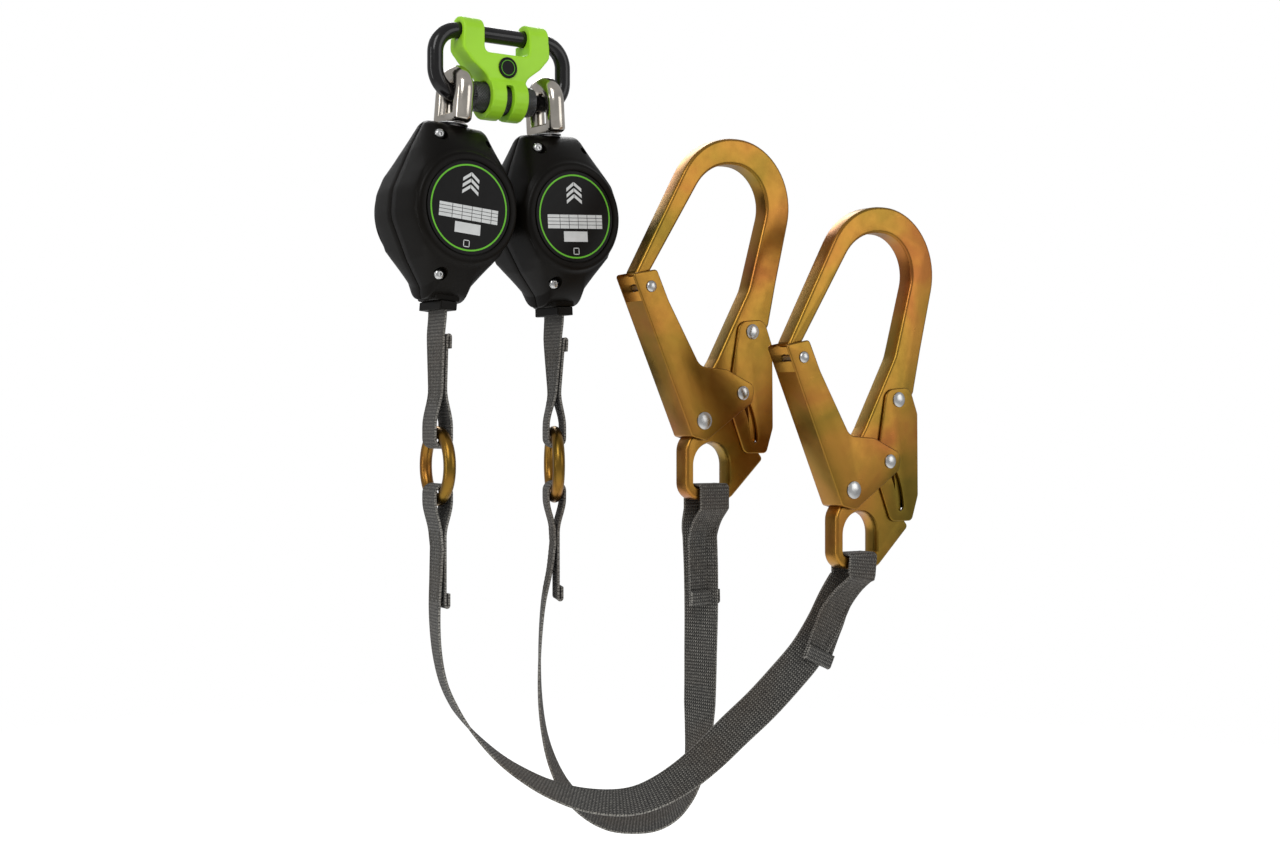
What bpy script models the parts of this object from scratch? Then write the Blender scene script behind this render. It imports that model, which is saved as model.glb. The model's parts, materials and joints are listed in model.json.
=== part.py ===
"""Twin-leg self-retracting lanyard.

A forged connector carries two swivel eyes, each with a self-retracting unit below it.
A webbing strap leaves each unit, ends on a steel ring, and a webbing leg runs on from
the ring to a rebar snap hook.

X runs along the connector's bars, -Y faces the labels and Z is up. The origin is the
middle of the connector's upper bar. All lengths here are in millimetres.
"""
import math

import bpy
import bmesh
from mathutils import Matrix, Vector

MM = 0.001
GAP = 0.3                       # clearance between neighbouring pieces

# Connector
BAR_R = 5.5
BAR_SPACING = 44.0              # upper bar to lower bar, centre to centre
LINK_HALF_WIDTH = 57.0
LINK_CORNER_R = 17.0
GATE_HALF_LENGTH = 29.0
SLEEVE_R = 10.5
SLEEVE_HALF_LENGTH = 24.5
BRIDGE_HALF_DEPTH = 10.0
LOOP_R = 15.5
LOOP_X = (3.0, 14.5)
CLIP_X = (18.0, 34.0)
CLIP_R = 10.0

# Self-retracting unit, measured from the connector's lower bar
EYE_X = 36.5
EYE_BAR_R = 6.7
EYE_ARCH_R = 13.2               # centreline of the arch
EYE_ARCH_Z = -0.2
EYE_BASE_Z = (-21.0, -14.5)
YOKE_TOP_Z = -39.5
LABEL_Z = -82.5
SEAM_HALF_GAP = 0.15
SHELL_HALF_WIDTH = 41.5
SHELL_DRAFT = 1.5                # side walls lean in by this much from the seam to the shoulder
SHELL_STEP = 14.0               # widest step round the housing, in degrees
BOSS_R = 39.5
FACE_Y = 33.0
LABEL_R = 31.5
DRUM_R = 30.0
ROLL_R = 26.0
CORE_R = 9.0
AXLE_R = 4.0
NOZZLE_Z = (-150.5, -144.5)
NOZZLE_HALF = (6.5, 15.5)       # half sizes along X and Y
WEB_SLOT_HALF = (2.9, 13.4)     # the slot the strap leaves by
YOKE_HALF = (11.0, 20.0)
YOKE_PLATE = 2.6                # thickness of the frame's steel
SWIVEL_R = 5.0                  # bolt shank
SPRING_Y = (21.0, 26.5)
UNITS = (("left", -1, 5.0), ("right", 1, 3.0))     # name, side, outward lean in degrees

FLOOR_LEVEL = 6                 # ring of the shell's section that bounds the label's seat
SCREWS = ((-18.0, 49.0, 16.6), (-13.0, -46.0, 21.8))    # x, height over the label, seat depth

# Webbing and rings
WEB_WIDTH = 25.0
WEB_THICK = 2.0
LOOP_HALF = 5.9                 # half the gap between a ring loop's two layers
LOOP_INSET = 4.6                # ring's middle line to the webbing that bears on it
RING_Z = -300.0
RING_R = 23.2
RING_BAR_R = 4.25
RING_X = {"left": -49.7, "right": 44.6}
RING_TURN = {"left": -8.0, "right": -24.0}         # degrees about the vertical

# Hooks, in their own frame: origin at the webbing eye's centre
HOOK_HALF_DEPTH = 7.0
HOOK_CHAMFER = 2.0
EYE_HALF = 15.5                 # half width of the webbing eye
EYE_FLOOR = 15.0                # its flat floor, below the eye's centre
GATE_PIVOT = (-10.0, 31.0)
GUIDE_PIN = (24.0, 50.5)
LEVER_PIVOT = (34.0, 94.0)
TIP_RIVET = (-55.0, 122.0)
GUIDE_PIN_R = 3.0
GATE_SWING = 45.0               # degrees
LEVER_SWING = 6.0
LEVER_Y = (7.5, 9.1)
CHEEK_Y = (9.5, 11.0)
HOOKS = {"left": (118.0, -83.0, -300.0), "right": (203.0, -142.0, -348.0)}

# Routes of the two legs, from below the ring's loop to below the hook's loop
LEG_ROUTES = {
    "left": [(-50, 0, -352), (-51, 0, -375), (-52, 0, -400), (-51, -1, -425), (-48, -4, -446),
             (-43, -9, -462), (-36, -16, -476), (-28, -24, -488), (-19, -33, -499), (-9, -42, -508),
             (4, -54, -517), (20, -66, -524), (37, -79, -527), (53, -89, -526), (68, -97, -520),
             (84, -104, -510), (100, -110, -497), (117, -116, -481), (136, -121, -465),
             (153, -126, -448), (170, -129, -431), (184, -130, -413), (194, -131, -396)],
    "right": [(44, 0, -352), (42, 2, -375), (39, 6, -400), (38, 9, -434), (39, 10, -469),
              (43, 9, -498), (50, 6, -521), (59, 1, -538), (70, -7, -550), (83, -16, -557),
              (96, -27, -558), (108, -38, -555), (117, -48, -546), (122, -56, -532),
              (124, -62, -512), (124, -66, -488), (123, -69, -460), (122, -71, -431),
              (121, -73, -403), (120, -74, -374), (119, -74, -350)],
}
# Sewn tails at the hooks, in the hook's frame, from the loop's front down to the cut end
HOOK_TAILS = {
    "right": [(-1.5, -9.6, -30), (-6, 0, -40), (-11, 6.6, -52), (-17.5, 8.0, -66), (-27, 9.5, -88)],
    "left": [(0, -9.5, -30), (0.3, 0, -40), (0.6, 5.3, -52), (1, 5.7, -66), (2, 6.0, -96)],
}
# Turn of the webbing's width about its own line, in degrees, at shares of the route
LEG_TURNS = {
    "left": [(0.0, 0.0), (0.25, 12.0), (0.5, 60.0), (0.75, 100.0), (1.0, 118.0)],
    "right": [(0.0, 0.0), (0.3, 12.0), (0.6, 42.0), (0.75, 86.0), (1.0, 102.0)],
}

COLOURS = {
    "black_steel": ((0.015, 0.015, 0.017), 0.6, 0.35),
    "green_plastic": ((0.16, 0.55, 0.03), 0.0, 0.45),
    "stainless": ((0.62, 0.60, 0.56), 1.0, 0.22),
    "black_plastic": ((0.012, 0.012, 0.013), 0.0, 0.55),
    "label_print": ((0.02, 0.02, 0.02), 0.0, 0.4),
    "gold_steel": ((0.55, 0.36, 0.12), 1.0, 0.35),
    "web": ((0.10, 0.095, 0.09), 0.0, 0.9),
    "zinc_steel": ((0.50, 0.50, 0.50), 1.0, 0.35),
    "spring_steel": ((0.25, 0.27, 0.33), 1.0, 0.3),
}


def make_materials():
    made = {}
    for name, (colour, metallic, roughness) in COLOURS.items():
        material = bpy.data.materials.new(name)
        material.use_nodes = True
        shader = material.node_tree.nodes["Principled BSDF"]
        shader.inputs["Base Color"].default_value = (*colour, 1.0)
        shader.inputs["Metallic"].default_value = metallic
        shader.inputs["Roughness"].default_value = roughness
        made[name] = material
    return made


# ---------------------------------------------------------------- mesh helpers

def place(name, points, faces, material, parent=None, origin=(0, 0, 0)):
    """Make one object; points are in the parent's frame and the object's origin is origin."""
    shift = Vector(origin)
    mesh = bpy.data.meshes.new(name)
    mesh.from_pydata([(Vector(p) - shift) * MM for p in points], [], faces)
    shell = bmesh.new()
    shell.from_mesh(mesh)
    bmesh.ops.recalc_face_normals(shell, faces=shell.faces)
    shell.to_mesh(mesh)
    shell.free()
    mesh.shade_smooth()
    mesh.set_sharp_from_angle(angle=math.radians(35))
    thing = bpy.data.objects.new(name, mesh)
    bpy.context.collection.objects.link(thing)
    thing.location = shift * MM
    thing.parent = parent
    if material:
        mesh.materials.append(material)
    return thing


def make_frame(name, location, turn_y=0.0):
    frame = bpy.data.objects.new(name, None)
    bpy.context.collection.objects.link(frame)
    frame.location = Vector(location) * MM
    frame.rotation_euler = (0.0, math.radians(turn_y), 0.0)
    return frame


def loft(rings, closed=False):
    """Join rings of equal length by quads; ends are filled unless the loft closes on itself."""
    size = len(rings[0])
    points = [p for ring in rings for p in ring]
    faces = []
    spans = len(rings) if closed else len(rings) - 1
    for i in range(spans):
        a, b = i * size, ((i + 1) % len(rings)) * size
        for j in range(size):
            k = (j + 1) % size
            faces.append((a + j, a + k, b + k, b + j))
    if not closed:
        faces.append(tuple(reversed(range(size))))
        faces.append(tuple(range(len(points) - size, len(points))))
    return points, faces


def rounded(corners, arc_step=24.0):
    """A closed outline from (a, b, radius) corners, with each corner as an arc."""
    outline = []
    count = len(corners)
    for i, (a, b, radius) in enumerate(corners):
        here = Vector((a, b))
        before = (Vector(corners[i - 1][:2]) - here).normalized()
        after = (Vector(corners[(i + 1) % count][:2]) - here).normalized()
        turn = math.pi - before.angle(after)
        if radius <= 0 or turn < 0.02:
            outline.append((a, b))
            continue
        reach = radius * math.tan(turn / 2)
        start = here + before * reach
        centre = here + (before + after).normalized() * (radius / math.cos(turn / 2))
        side = 1 if before.x * after.y - before.y * after.x < 0 else -1
        steps = max(1, math.ceil(math.degrees(turn) / arc_step))
        spoke = start - centre
        for k in range(steps + 1):
            angle = side * turn * k / steps
            outline.append((centre.x + spoke.x * math.cos(angle) - spoke.y * math.sin(angle),
                            centre.y + spoke.x * math.sin(angle) + spoke.y * math.cos(angle)))
    return outline


def inset(outline, depth):
    """Move each point of a closed outline inwards by depth."""
    area = sum(a[0] * b[1] - b[0] * a[1] for a, b in zip(outline, outline[1:] + outline[:1]))
    sign = 1 if area > 0 else -1
    moved = []
    for i, (x, z) in enumerate(outline):
        before = (Vector((x, z)) - Vector(outline[i - 1])).normalized()
        after = (Vector(outline[(i + 1) % len(outline)]) - Vector((x, z))).normalized()
        along = (before + after).normalized()
        stretch = max(0.5, along.dot(after))
        moved.append((x - along.y * sign * depth / stretch, z + along.x * sign * depth / stretch))
    return moved


def plate(outline, y_low, y_high, chamfer=0.0):
    """Extrude an XZ outline along Y, with chamfered rims."""
    if chamfer <= 0:
        levels = [(y_low, 0.0), (y_high, 0.0)]
    else:
        levels = [(y_low, chamfer), (y_low + chamfer, 0.0), (y_high - chamfer, 0.0), (y_high, chamfer)]
    return loft([[(x, y, z) for x, z in (inset(outline, depth) if depth else outline)]
                 for y, depth in levels])


def turned(profile, axis, centre=(0, 0, 0), steps=20, closed=False):
    """Turn a (distance along axis, radius) profile; a closed profile makes a ring."""
    main = {"X": Vector((1, 0, 0)), "Y": Vector((0, 1, 0)), "Z": Vector((0, 0, 1))}[axis]
    side = main.orthogonal().normalized()
    other = main.cross(side)
    middle = Vector(centre)
    rings = []
    for along, radius in profile:
        rings.append([middle + main * along + radius * (side * math.cos(t) + other * math.sin(t))
                      for t in (2 * math.pi * k / steps for k in range(steps))])
    return loft(rings, closed)


def tube(path, normal, radius, sides=10, closed=False):
    """A round bar along a path that lies in the plane with this normal."""
    across = Vector(normal).normalized()
    rings = []
    for i, point in enumerate(path):
        ahead = Vector(path[(i + 1) % len(path)]) if closed or i + 1 < len(path) else Vector(point)
        behind = Vector(path[i - 1]) if closed or i else Vector(point)
        out = (ahead - behind).normalized().cross(across)
        rings.append([Vector(point) + radius * (out * math.cos(t) + across * math.sin(t))
                      for t in (2 * math.pi * (k + 0.5) / sides for k in range(sides))])
    return loft(rings, closed)


def ribbon(path, widths):
    """Flat webbing along a path; widths holds each point's direction across the webbing."""
    rings = []
    for i, point in enumerate(path):
        ahead = Vector(path[min(i + 1, len(path) - 1)])
        behind = Vector(path[max(i - 1, 0)])
        along = (ahead - behind).normalized()
        across = Vector(widths[i])
        across = (across - along * across.dot(along)).normalized()
        thick = along.cross(across) * WEB_THICK / 2
        across = across * WEB_WIDTH / 2
        rings.append([Vector(point) + s * across + t * thick
                      for s, t in ((-1, -1), (1, -1), (1, 1), (-1, 1))])
    return loft(rings)


def cut(thing, shape, parent=None, origin=(0, 0, 0), operation="DIFFERENCE"):
    """Boolean with a hidden helper shape given as (points, faces)."""
    helper = place(thing.name + "_cutter", *shape, None, parent, origin)
    helper.hide_render = True
    helper.display_type = "WIRE"
    modifier = thing.modifiers.new("cut", "BOOLEAN")
    modifier.operation = operation
    modifier.solver = "EXACT"
    modifier.object = helper


def box(low, high):
    (x0, y0, z0), (x1, y1, z1) = low, high
    return loft([[(x0, y0, z), (x1, y0, z), (x1, y1, z), (x0, y1, z)] for z in (z0, z1)])


def arc(centre, radius, start, end, steps):
    """Points on an arc in a plane, angles in degrees."""
    return [(centre[0] + radius * math.cos(math.radians(start + (end - start) * k / steps)),
             centre[1] + radius * math.sin(math.radians(start + (end - start) * k / steps)))
            for k in range(steps + 1)]


def smooth_route(points, pieces):
    """Points on a smooth curve through the given ones (Catmull-Rom)."""
    padded = [Vector(p) for p in points]
    padded = [2 * padded[0] - padded[1]] + padded + [2 * padded[-1] - padded[-2]]
    route = []
    for a, b, c, d in zip(padded, padded[1:], padded[2:], padded[3:]):
        for k in range(pieces):
            t = k / pieces
            route.append(0.5 * (2 * b + (c - a) * t + (2 * a - 5 * b + 4 * c - d) * t * t
                                + (3 * b - a - 3 * c + d) * t ** 3))
    route.append(padded[-2])
    return route


def between(stops, share):
    """Read a smooth value from (share, value) stops."""
    for (a, low), (b, high) in zip(stops, stops[1:]):
        if share <= b:
            t = (share - a) / (b - a)
            return low + (high - low) * t
    return stops[-1][1]


# ---------------------------------------------------------------- connector

def build_connector(look):
    low_z = -BAR_SPACING
    straight = LINK_HALF_WIDTH - BAR_R - LINK_CORNER_R
    up, down = -LINK_CORNER_R, low_z + LINK_CORNER_R
    path = [(GATE_HALF_LENGTH + GAP, low_z)]
    path += arc((straight, down), LINK_CORNER_R, -90, 0, 6)
    path += arc((straight, up), LINK_CORNER_R, 0, 90, 6)
    path += arc((-straight, up), LINK_CORNER_R, 90, 180, 6)
    path += arc((-straight, down), LINK_CORNER_R, 180, 270, 6)
    path += [(-GATE_HALF_LENGTH - GAP, low_z)]
    body = place("carabiner_body", *tube([(x, 0, z) for x, z in path], (0, 1, 0), BAR_R, 12),
                 look["black_steel"])
    gate = place("carabiner_gate",
                 *turned([(-GATE_HALF_LENGTH + 5, 4.9), (GATE_HALF_LENGTH, 4.9)], "X",
                         (0, 0, low_z), 12), look["black_steel"])
    # The gate's tongue sits in a fork in the body's end and turns on the pin
    tongue = box((-GATE_HALF_LENGTH - 4, -1.7, low_z - 3.4), (-GATE_HALF_LENGTH + 6, 1.7, low_z + 3.4))
    cut(gate, tongue, operation="UNION")
    cut(body, box((-GATE_HALF_LENGTH - 4.5, -2.0, low_z - 8), (-GATE_HALF_LENGTH + 6, 2.0, low_z + 8)))
    pin_x = -GATE_HALF_LENGTH - 2.0
    for piece in (body, gate):
        cut(piece, turned([(-9, 1.6), (9, 1.6)], "Y", (pin_x, 0, low_z), 10))
    place("gate_pin", *turned([(-5.0, 1.3), (5.0, 1.3)], "Y", (pin_x, 0, low_z), 10),
          look["zinc_steel"])
    profile = [(-SLEEVE_HALF_LENGTH, 5.5), (-SLEEVE_HALF_LENGTH, 9.6),
               (-SLEEVE_HALF_LENGTH + 1, SLEEVE_R), (SLEEVE_HALF_LENGTH - 1, SLEEVE_R),
               (SLEEVE_HALF_LENGTH, 9.6), (SLEEVE_HALF_LENGTH, 5.5)]
    place("lock_sleeve", *turned(profile, "X", (0, 0, low_z), 24, closed=True),
          look["black_steel"], origin=(0, 0, low_z))


def build_bridge(look):
    low_z = -BAR_SPACING
    half = [(CLIP_X[1], -1, 2), (CLIP_X[1] + 1, -13, 6), (27, -22, 10), (LOOP_X[1], -31, 10),
            (LOOP_X[1], low_z, 0)]
    window = [(CLIP_X[0], -9, 0), (CLIP_X[0], -1, 0)]
    outline = [(x, z, r) for x, z, r in half] + [(-x, z, r) for x, z, r in reversed(half)]
    outline += [(-window[1][0], -1, 0), (-window[0][0], -14, 4), (window[0][0], -14, 4),
                (window[1][0], -1, 0)]
    bridge = place("spacer_bridge",
                   *plate(rounded(outline), -BRIDGE_HALF_DEPTH, BRIDGE_HALF_DEPTH),
                   look["green_plastic"])
    loop = turned([(-LOOP_X[1], LOOP_R), (LOOP_X[1], LOOP_R)], "X", (0, 0, low_z), 24)
    cut(bridge, loop, operation="UNION")
    for side in (-1, 1):
        middle = side * (CLIP_X[0] + CLIP_X[1]) / 2
        half_clip = (CLIP_X[1] - CLIP_X[0]) / 2
        cut(bridge, turned([(-half_clip, CLIP_R), (half_clip, CLIP_R)], "X", (middle, 0, 0), 20),
            operation="UNION")
    cut(bridge, turned([(-60, BAR_R + GAP), (60, BAR_R + GAP)], "X", (0, 0, 0), 16))
    cut(bridge, turned([(-60, SLEEVE_R + GAP), (60, SLEEVE_R + GAP)], "X", (0, 0, low_z), 24))
    # Snap openings at the back of the clips, and the slot between the lower loops
    cut(bridge, box((-60, 0, -4), (60, 20, 4)))
    cut(bridge, box((-LOOP_X[0], -30, low_z - 30), (LOOP_X[0], 30, low_z + 8)))
    badge = turned([(0, 7.3), (0.6, 7.3)], "Y", (0, -BRIDGE_HALF_DEPTH - GAP - 0.6, -23.5), 24)
    place("bridge_badge", *badge, look["label_print"])


# ---------------------------------------------------------------- self-retracting unit

def build_eye(name, look, frame):
    path = [(-EYE_ARCH_R, EYE_BASE_Z[1] - 3)]
    path += reversed(arc((0, EYE_ARCH_Z), EYE_ARCH_R, 0, 180, 10))
    path += [(EYE_ARCH_R, EYE_BASE_Z[1] - 3)]
    eye = place(name + "_swivel_eye", *tube([(0, y, z) for y, z in path], (1, 0, 0), EYE_BAR_R, 10),
                look["stainless"], frame)
    base = rounded([(-19.5, EYE_BASE_Z[0], 2), (19.5, EYE_BASE_Z[0], 2),
                    (19.5, EYE_BASE_Z[1], 2), (-19.5, EYE_BASE_Z[1], 2)], 45)
    cut(eye, loft([[(x, y, z) for y, z in base] for x in (-6.4, 6.4)]), frame, operation="UNION")
    cut(eye, turned([(-30, 5.3), (-17.7, 5.3)], "Z", (0, 0, 0), 12), frame)
    place(name + "_swivel_washer", *turned([(-21.9, 5.4), (-21.3, 5.4), (-21.3, 11), (-21.9, 11)],
                                           "Z", (0, 0, 0), 16, closed=True), look["zinc_steel"], frame)
    under_yoke = YOKE_TOP_Z - YOKE_PLATE - GAP
    bolt = [(under_yoke - 3.0, 8.0), (under_yoke, 8.0), (under_yoke, SWIVEL_R), (-18.0, SWIVEL_R)]
    place(name + "_swivel_bolt", *turned(bolt, "Z", (0, 0, 0), 16), look["zinc_steel"], frame)


def shell_outline():
    """Seam outline of the housing, measured from the label's centre."""
    right = [(22, 60.3, 5), (31, 39, 12), (SHELL_HALF_WIDTH, 9, 22), (SHELL_HALF_WIDTH, -9, 22),
             (27, -37, 14), (15.5, -54, 3), (14, -61.8, 1)]
    corners = rounded(right + [(-x, z, r) for x, z, r in reversed(right)], 32)
    outline = []
    for here, ahead in zip(corners, corners[1:] + corners[:1]):
        parts = max(1, math.ceil(math.degrees(Vector(here).angle(Vector(ahead))) / SHELL_STEP))
        outline += [tuple(Vector(here).lerp(Vector(ahead), k / parts)) for k in range(parts)]
    return outline


def build_shell(name, look, frame, facing):
    """Half of the housing; facing is -1 for the front and +1 for the rear."""
    levels = []
    outline = shell_outline()
    directions = [(Vector(p).length, Vector(p).normalized()) for p in outline]
    walls = []
    for reach, direction in directions:
        fall = 0.65 if direction.y > 0 else 0.42
        walls.append(24 - (reach - 42) * fall)
    shapes = [lambda r, w: (r, SEAM_HALF_GAP), lambda r, w: (r - SHELL_DRAFT, w),
              lambda r, w: (r - SHELL_DRAFT - 1.6, w + 2.8),
              lambda r, w: (BOSS_R, 29.8), lambda r, w: (BOSS_R - 3, FACE_Y),
              lambda r, w: (LABEL_R + 0.7, FACE_Y),
              lambda r, w: (LABEL_R + 0.7, FACE_Y - 1), lambda r, w: (34.5, 29.6),
              lambda r, w: (r - SHELL_DRAFT - 2.8, w - 0.6),
              lambda r, w: (r - 2.8, SEAM_HALF_GAP)]
    for shape in shapes:
        ring = []
        for (reach, direction), wall in zip(directions, walls):
            r, y = shape(reach, wall)
            ring.append((direction.x * r, facing * y, LABEL_Z + direction.y * r))
        levels.append(ring)
    size = len(outline)
    points, faces = loft(levels)
    faces = faces[:-2]
    # Close the seam rim, and open the ring round the label's centre into two floors
    rim = (len(shapes) - 1) * size
    faces += [(k, (k + 1) % size, rim + (k + 1) % size, rim + k) for k in range(size)]
    floor = FLOOR_LEVEL * size
    faces = [f for f in faces if not all(floor <= v < floor + 2 * size for v in f)]
    faces += [tuple(range(floor, floor + size)), tuple(reversed(range(floor + size, floor + 2 * size)))]
    shell = place(name, points, faces, look["black_plastic"], frame)
    cut(shell, box((-3.6, -13.4, -146), (3.6, 13.4, -138)), frame)
    cut(shell, turned([(-30, 5.4), (-20, 5.4)], "Z", (0, 0, 0), 16), frame)
    if facing < 0:
        for x, z, seat in SCREWS:
            hole = [(-40, 4.4), (-seat, 4.4), (-seat, 2.1), (-1, 2.1)]
            cut(shell, turned(hole, "Y", (x, 0, LABEL_Z + z), 12), frame)


def build_housing(name, look, frame):
    build_shell(name + "_housing_front", look, frame, -1)
    build_shell(name + "_housing_rear", look, frame, 1)
    label = turned([(-FACE_Y - 0.1, LABEL_R), (-FACE_Y + 0.7, LABEL_R)], "Y", (0, 0, LABEL_Z), 28)
    place(name + "_label_disc", *label, look["label_print"], frame)
    for end, (x, z, seat) in zip(("top", "bottom"), SCREWS):
        head = [(-seat - 2.6, 2.0), (-seat - GAP, 3.6), (-seat - GAP, 1.8), (8.0, 1.8)]
        place(f"{name}_screw_{end}", *turned(head, "Y", (x, 0, LABEL_Z + z), 10), look["zinc_steel"],
              frame)
    lip = place(name + "_web_nozzle",
                *box((-NOZZLE_HALF[0], -NOZZLE_HALF[1], NOZZLE_Z[0]), (*NOZZLE_HALF, NOZZLE_Z[1])),
                look["black_plastic"], frame)
    slot = box((-WEB_SLOT_HALF[0], -WEB_SLOT_HALF[1], NOZZLE_Z[0] - 5), (*WEB_SLOT_HALF, NOZZLE_Z[1] + 5))
    cut(lip, slot, frame)


def build_winder(name, look, frame):
    """Frame, axle, drum, wound webbing and return spring inside the housing."""
    top = YOKE_TOP_Z
    yoke = place(name + "_frame_yoke",
                 *box((-YOKE_HALF[0], -YOKE_HALF[1], LABEL_Z - 9), (*YOKE_HALF, top)),
                 look["zinc_steel"], frame)
    cheek = YOKE_HALF[1] - 2.5
    cut(yoke, box((-20, -cheek, LABEL_Z - 20), (20, cheek, top - YOKE_PLATE)), frame)
    cut(yoke, turned([(-60, 5.4), (0, 5.4)], "Z", (0, 0, 0), 16), frame)
    cut(yoke, turned([(-40, AXLE_R + GAP), (40, AXLE_R + GAP)], "Y", (0, 0, LABEL_Z), 16), frame)
    middle = (0, 0, LABEL_Z)
    place(name + "_drum_axle", *turned([(-23, AXLE_R), (23, AXLE_R)], "Y", middle, 14),
          look["zinc_steel"], frame)
    drum = [(-14.6, AXLE_R + GAP), (-14.6, DRUM_R), (-13.2, DRUM_R), (-13.2, CORE_R), (13.2, CORE_R),
            (13.2, DRUM_R), (14.6, DRUM_R), (14.6, AXLE_R + GAP)]
    place(name + "_drum", *turned(drum, "Y", middle, 20, closed=True), look["zinc_steel"], frame,
          middle)
    roll = [(-12.6, CORE_R + GAP), (-12.6, ROLL_R), (12.6, ROLL_R), (12.6, CORE_R + GAP)]
    place(name + "_web_roll", *turned(roll, "Y", middle, 20, closed=True), look["web"], frame, middle)
    # Flat spiral beside the frame, wound round the axle's rear end
    turns, strip, pitch, inner = 3, 0.8, 5.6, 6.5
    spiral = []
    for k in range(turns * 12 + 1):
        angle = 2 * math.pi * k / 12
        radius = inner + pitch * k / 12
        spiral.append([(math.cos(angle) * r, y, LABEL_Z + math.sin(angle) * r)
                       for r, y in ((radius, SPRING_Y[0]), (radius + strip, SPRING_Y[0]),
                                    (radius + strip, SPRING_Y[1]), (radius, SPRING_Y[1]))])
    place(name + "_power_spring", *loft(spiral), look["spring_steel"], frame)


def eased(t):
    t = min(1.0, max(0.0, t))
    return t * t * (3 - 2 * t)


def build_strap(name, look, lean, side):
    """Webbing from the drum through the nozzle, round the ring's top and back up."""
    tilt = math.radians(lean)
    bar_top = RING_Z + RING_R - LOOP_INSET
    lower = Vector((side * EYE_X, 0, -BAR_SPACING))
    down = Vector((side * math.sin(tilt), 0, -math.cos(tilt)))
    path = [lower + down * 112, lower + down * 144, lower + down * 151]
    start = path[-1]
    foot = RING_X[name]
    spread = [(-1.35, -215), (-1.35, -245), (-1.6, -255), (-4.6, -266), (-LOOP_HALF, -271),
              (-LOOP_HALF, bar_top)]
    path += [Vector((foot + (start.x - foot) * (1 - eased((start.z - z) / 25)) + x, 0, z))
             for x, z in spread]
    path += [Vector((foot + x, 0, bar_top + z))
             for x, z in arc((0, 0), LOOP_HALF, 180, 360, 6)[1:]]
    path += [Vector((foot - x, 0, z)) for x, z in reversed(spread[:-1])]
    turned_path, widths = [], []
    for p in path:
        angle = math.radians(RING_TURN[name]) * eased((start.z - p.z) / (start.z - bar_top - 10))
        turn = Matrix.Rotation(angle, 3, "Z")
        pivot = Vector((foot, 0, 0))
        turned_path.append(turn @ (p - pivot) + pivot)
        widths.append(turn @ Vector((0, 1, 0)))
    place(name + "_strap", *ribbon(turned_path, widths), look["web"])


def build_ring(name, look):
    centre = Vector((RING_X[name], 0, RING_Z))
    turn = Matrix.Rotation(math.radians(RING_TURN[name]), 3, "Z")
    path = [centre + turn @ Vector((0, y, z)) for y, z in arc((0, 0), RING_R, 0, 360, 24)[:-1]]
    place(name + "_ring", *tube(path, turn @ Vector((1, 0, 0)), RING_BAR_R, 8, closed=True),
          look["gold_steel"], origin=centre)


def leg_path(name):
    """The leg's line and its directions across, from the tail at the ring up to the hook's loop."""
    turn = Matrix.Rotation(math.radians(RING_TURN[name]), 3, "Z")
    route = smooth_route(LEG_ROUTES[name], 2)
    lengths = [0.0]
    for a, b in zip(route, route[1:]):
        lengths.append(lengths[-1] + (b - a).length)
    across = turn @ Vector((0, 1, 0))
    line, widths = [], []
    previous = None
    for i, point in enumerate(route):
        along = (route[min(i + 1, len(route) - 1)] - route[max(i - 1, 0)]).normalized()
        if previous is not None:
            across = previous.rotation_difference(along) @ across
        previous = along
        angle = math.radians(between(LEG_TURNS[name], lengths[i] / lengths[-1]))
        line.append(point)
        widths.append(Matrix.Rotation(angle, 3, along) @ across)
    # Loop over the ring's lower bar: up the near side, over, and down to the tail's end
    foot = Vector((RING_X[name], 0, 0))
    bar_z = RING_Z - RING_R + LOOP_INSET
    rise = [(1.3, -396), (1.3, -352), (1.6, -344), (4.6, -334), (LOOP_HALF, -328), (LOOP_HALF, bar_z)]
    loop = rise + [(x, bar_z + z) for x, z in arc((0, 0), LOOP_HALF, 0, 180, 6)[1:]]
    loop += [(-LOOP_HALF, -328), (-4.6, -334), (-1.6, -344)]
    head = [foot + turn @ Vector((x, 0, z)) for x, z in loop]
    line = head + line[1:]
    widths = [turn @ Vector((0, 1, 0))] * len(head) + widths[1:]
    return line, widths


def build_leg(name, look):
    line, widths = leg_path(name)
    target = "right" if name == "left" else "left"
    hook = Vector(HOOKS[target])
    # Loop round the hook's lower bar: up behind it, over, and down in front to the tail's end
    layer = HOOK_HALF_DEPTH + WEB_THICK / 2 + 1.5
    top = -EYE_FLOOR + WEB_THICK / 2 + GAP
    loop = [(layer, -30), (layer, top), (-layer, top)]
    tail = [hook + Vector((0, y, z)) for y, z in loop]
    tail += [hook + Vector(p) for p in HOOK_TAILS[target]]
    end_across = Vector((1, 0, 0))
    if widths[-1].dot(end_across) < 0:
        end_across = -end_across
    place(name + "_leg", *ribbon(line + tail, widths + [end_across] * len(tail)), look["web"])


# ---------------------------------------------------------------- snap hooks

def hook_outline():
    outer = [(-67, 127, 2.4), (-9, 229.6, 52), (83, 229.6, 46), (58, 130, 30), (51, 99, 6),
             (42, 86, 8), (39, 12, 4), (46, 4, 3), (16, -24, 10), (-22, -24, 12), (-22, 15, 14),
             (-15, 23, 3), (-17, 32, 8), (-6, 58, 20)]
    inner = [(5, 74, 12), (33, 124, 30), (58, 211, 28), (-2, 211, 36), (-53, 132, 2.4)]
    return rounded(outer + inner, 28)


def swing(point, pivot, degrees):
    """Turn a point of the hook about a pivot, clockwise seen from the front."""
    angle = math.radians(degrees)
    x, z = point[0] - pivot[0], point[1] - pivot[1]
    return (pivot[0] + x * math.cos(angle) + z * math.sin(angle),
            pivot[1] - x * math.sin(angle) + z * math.cos(angle))


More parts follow.
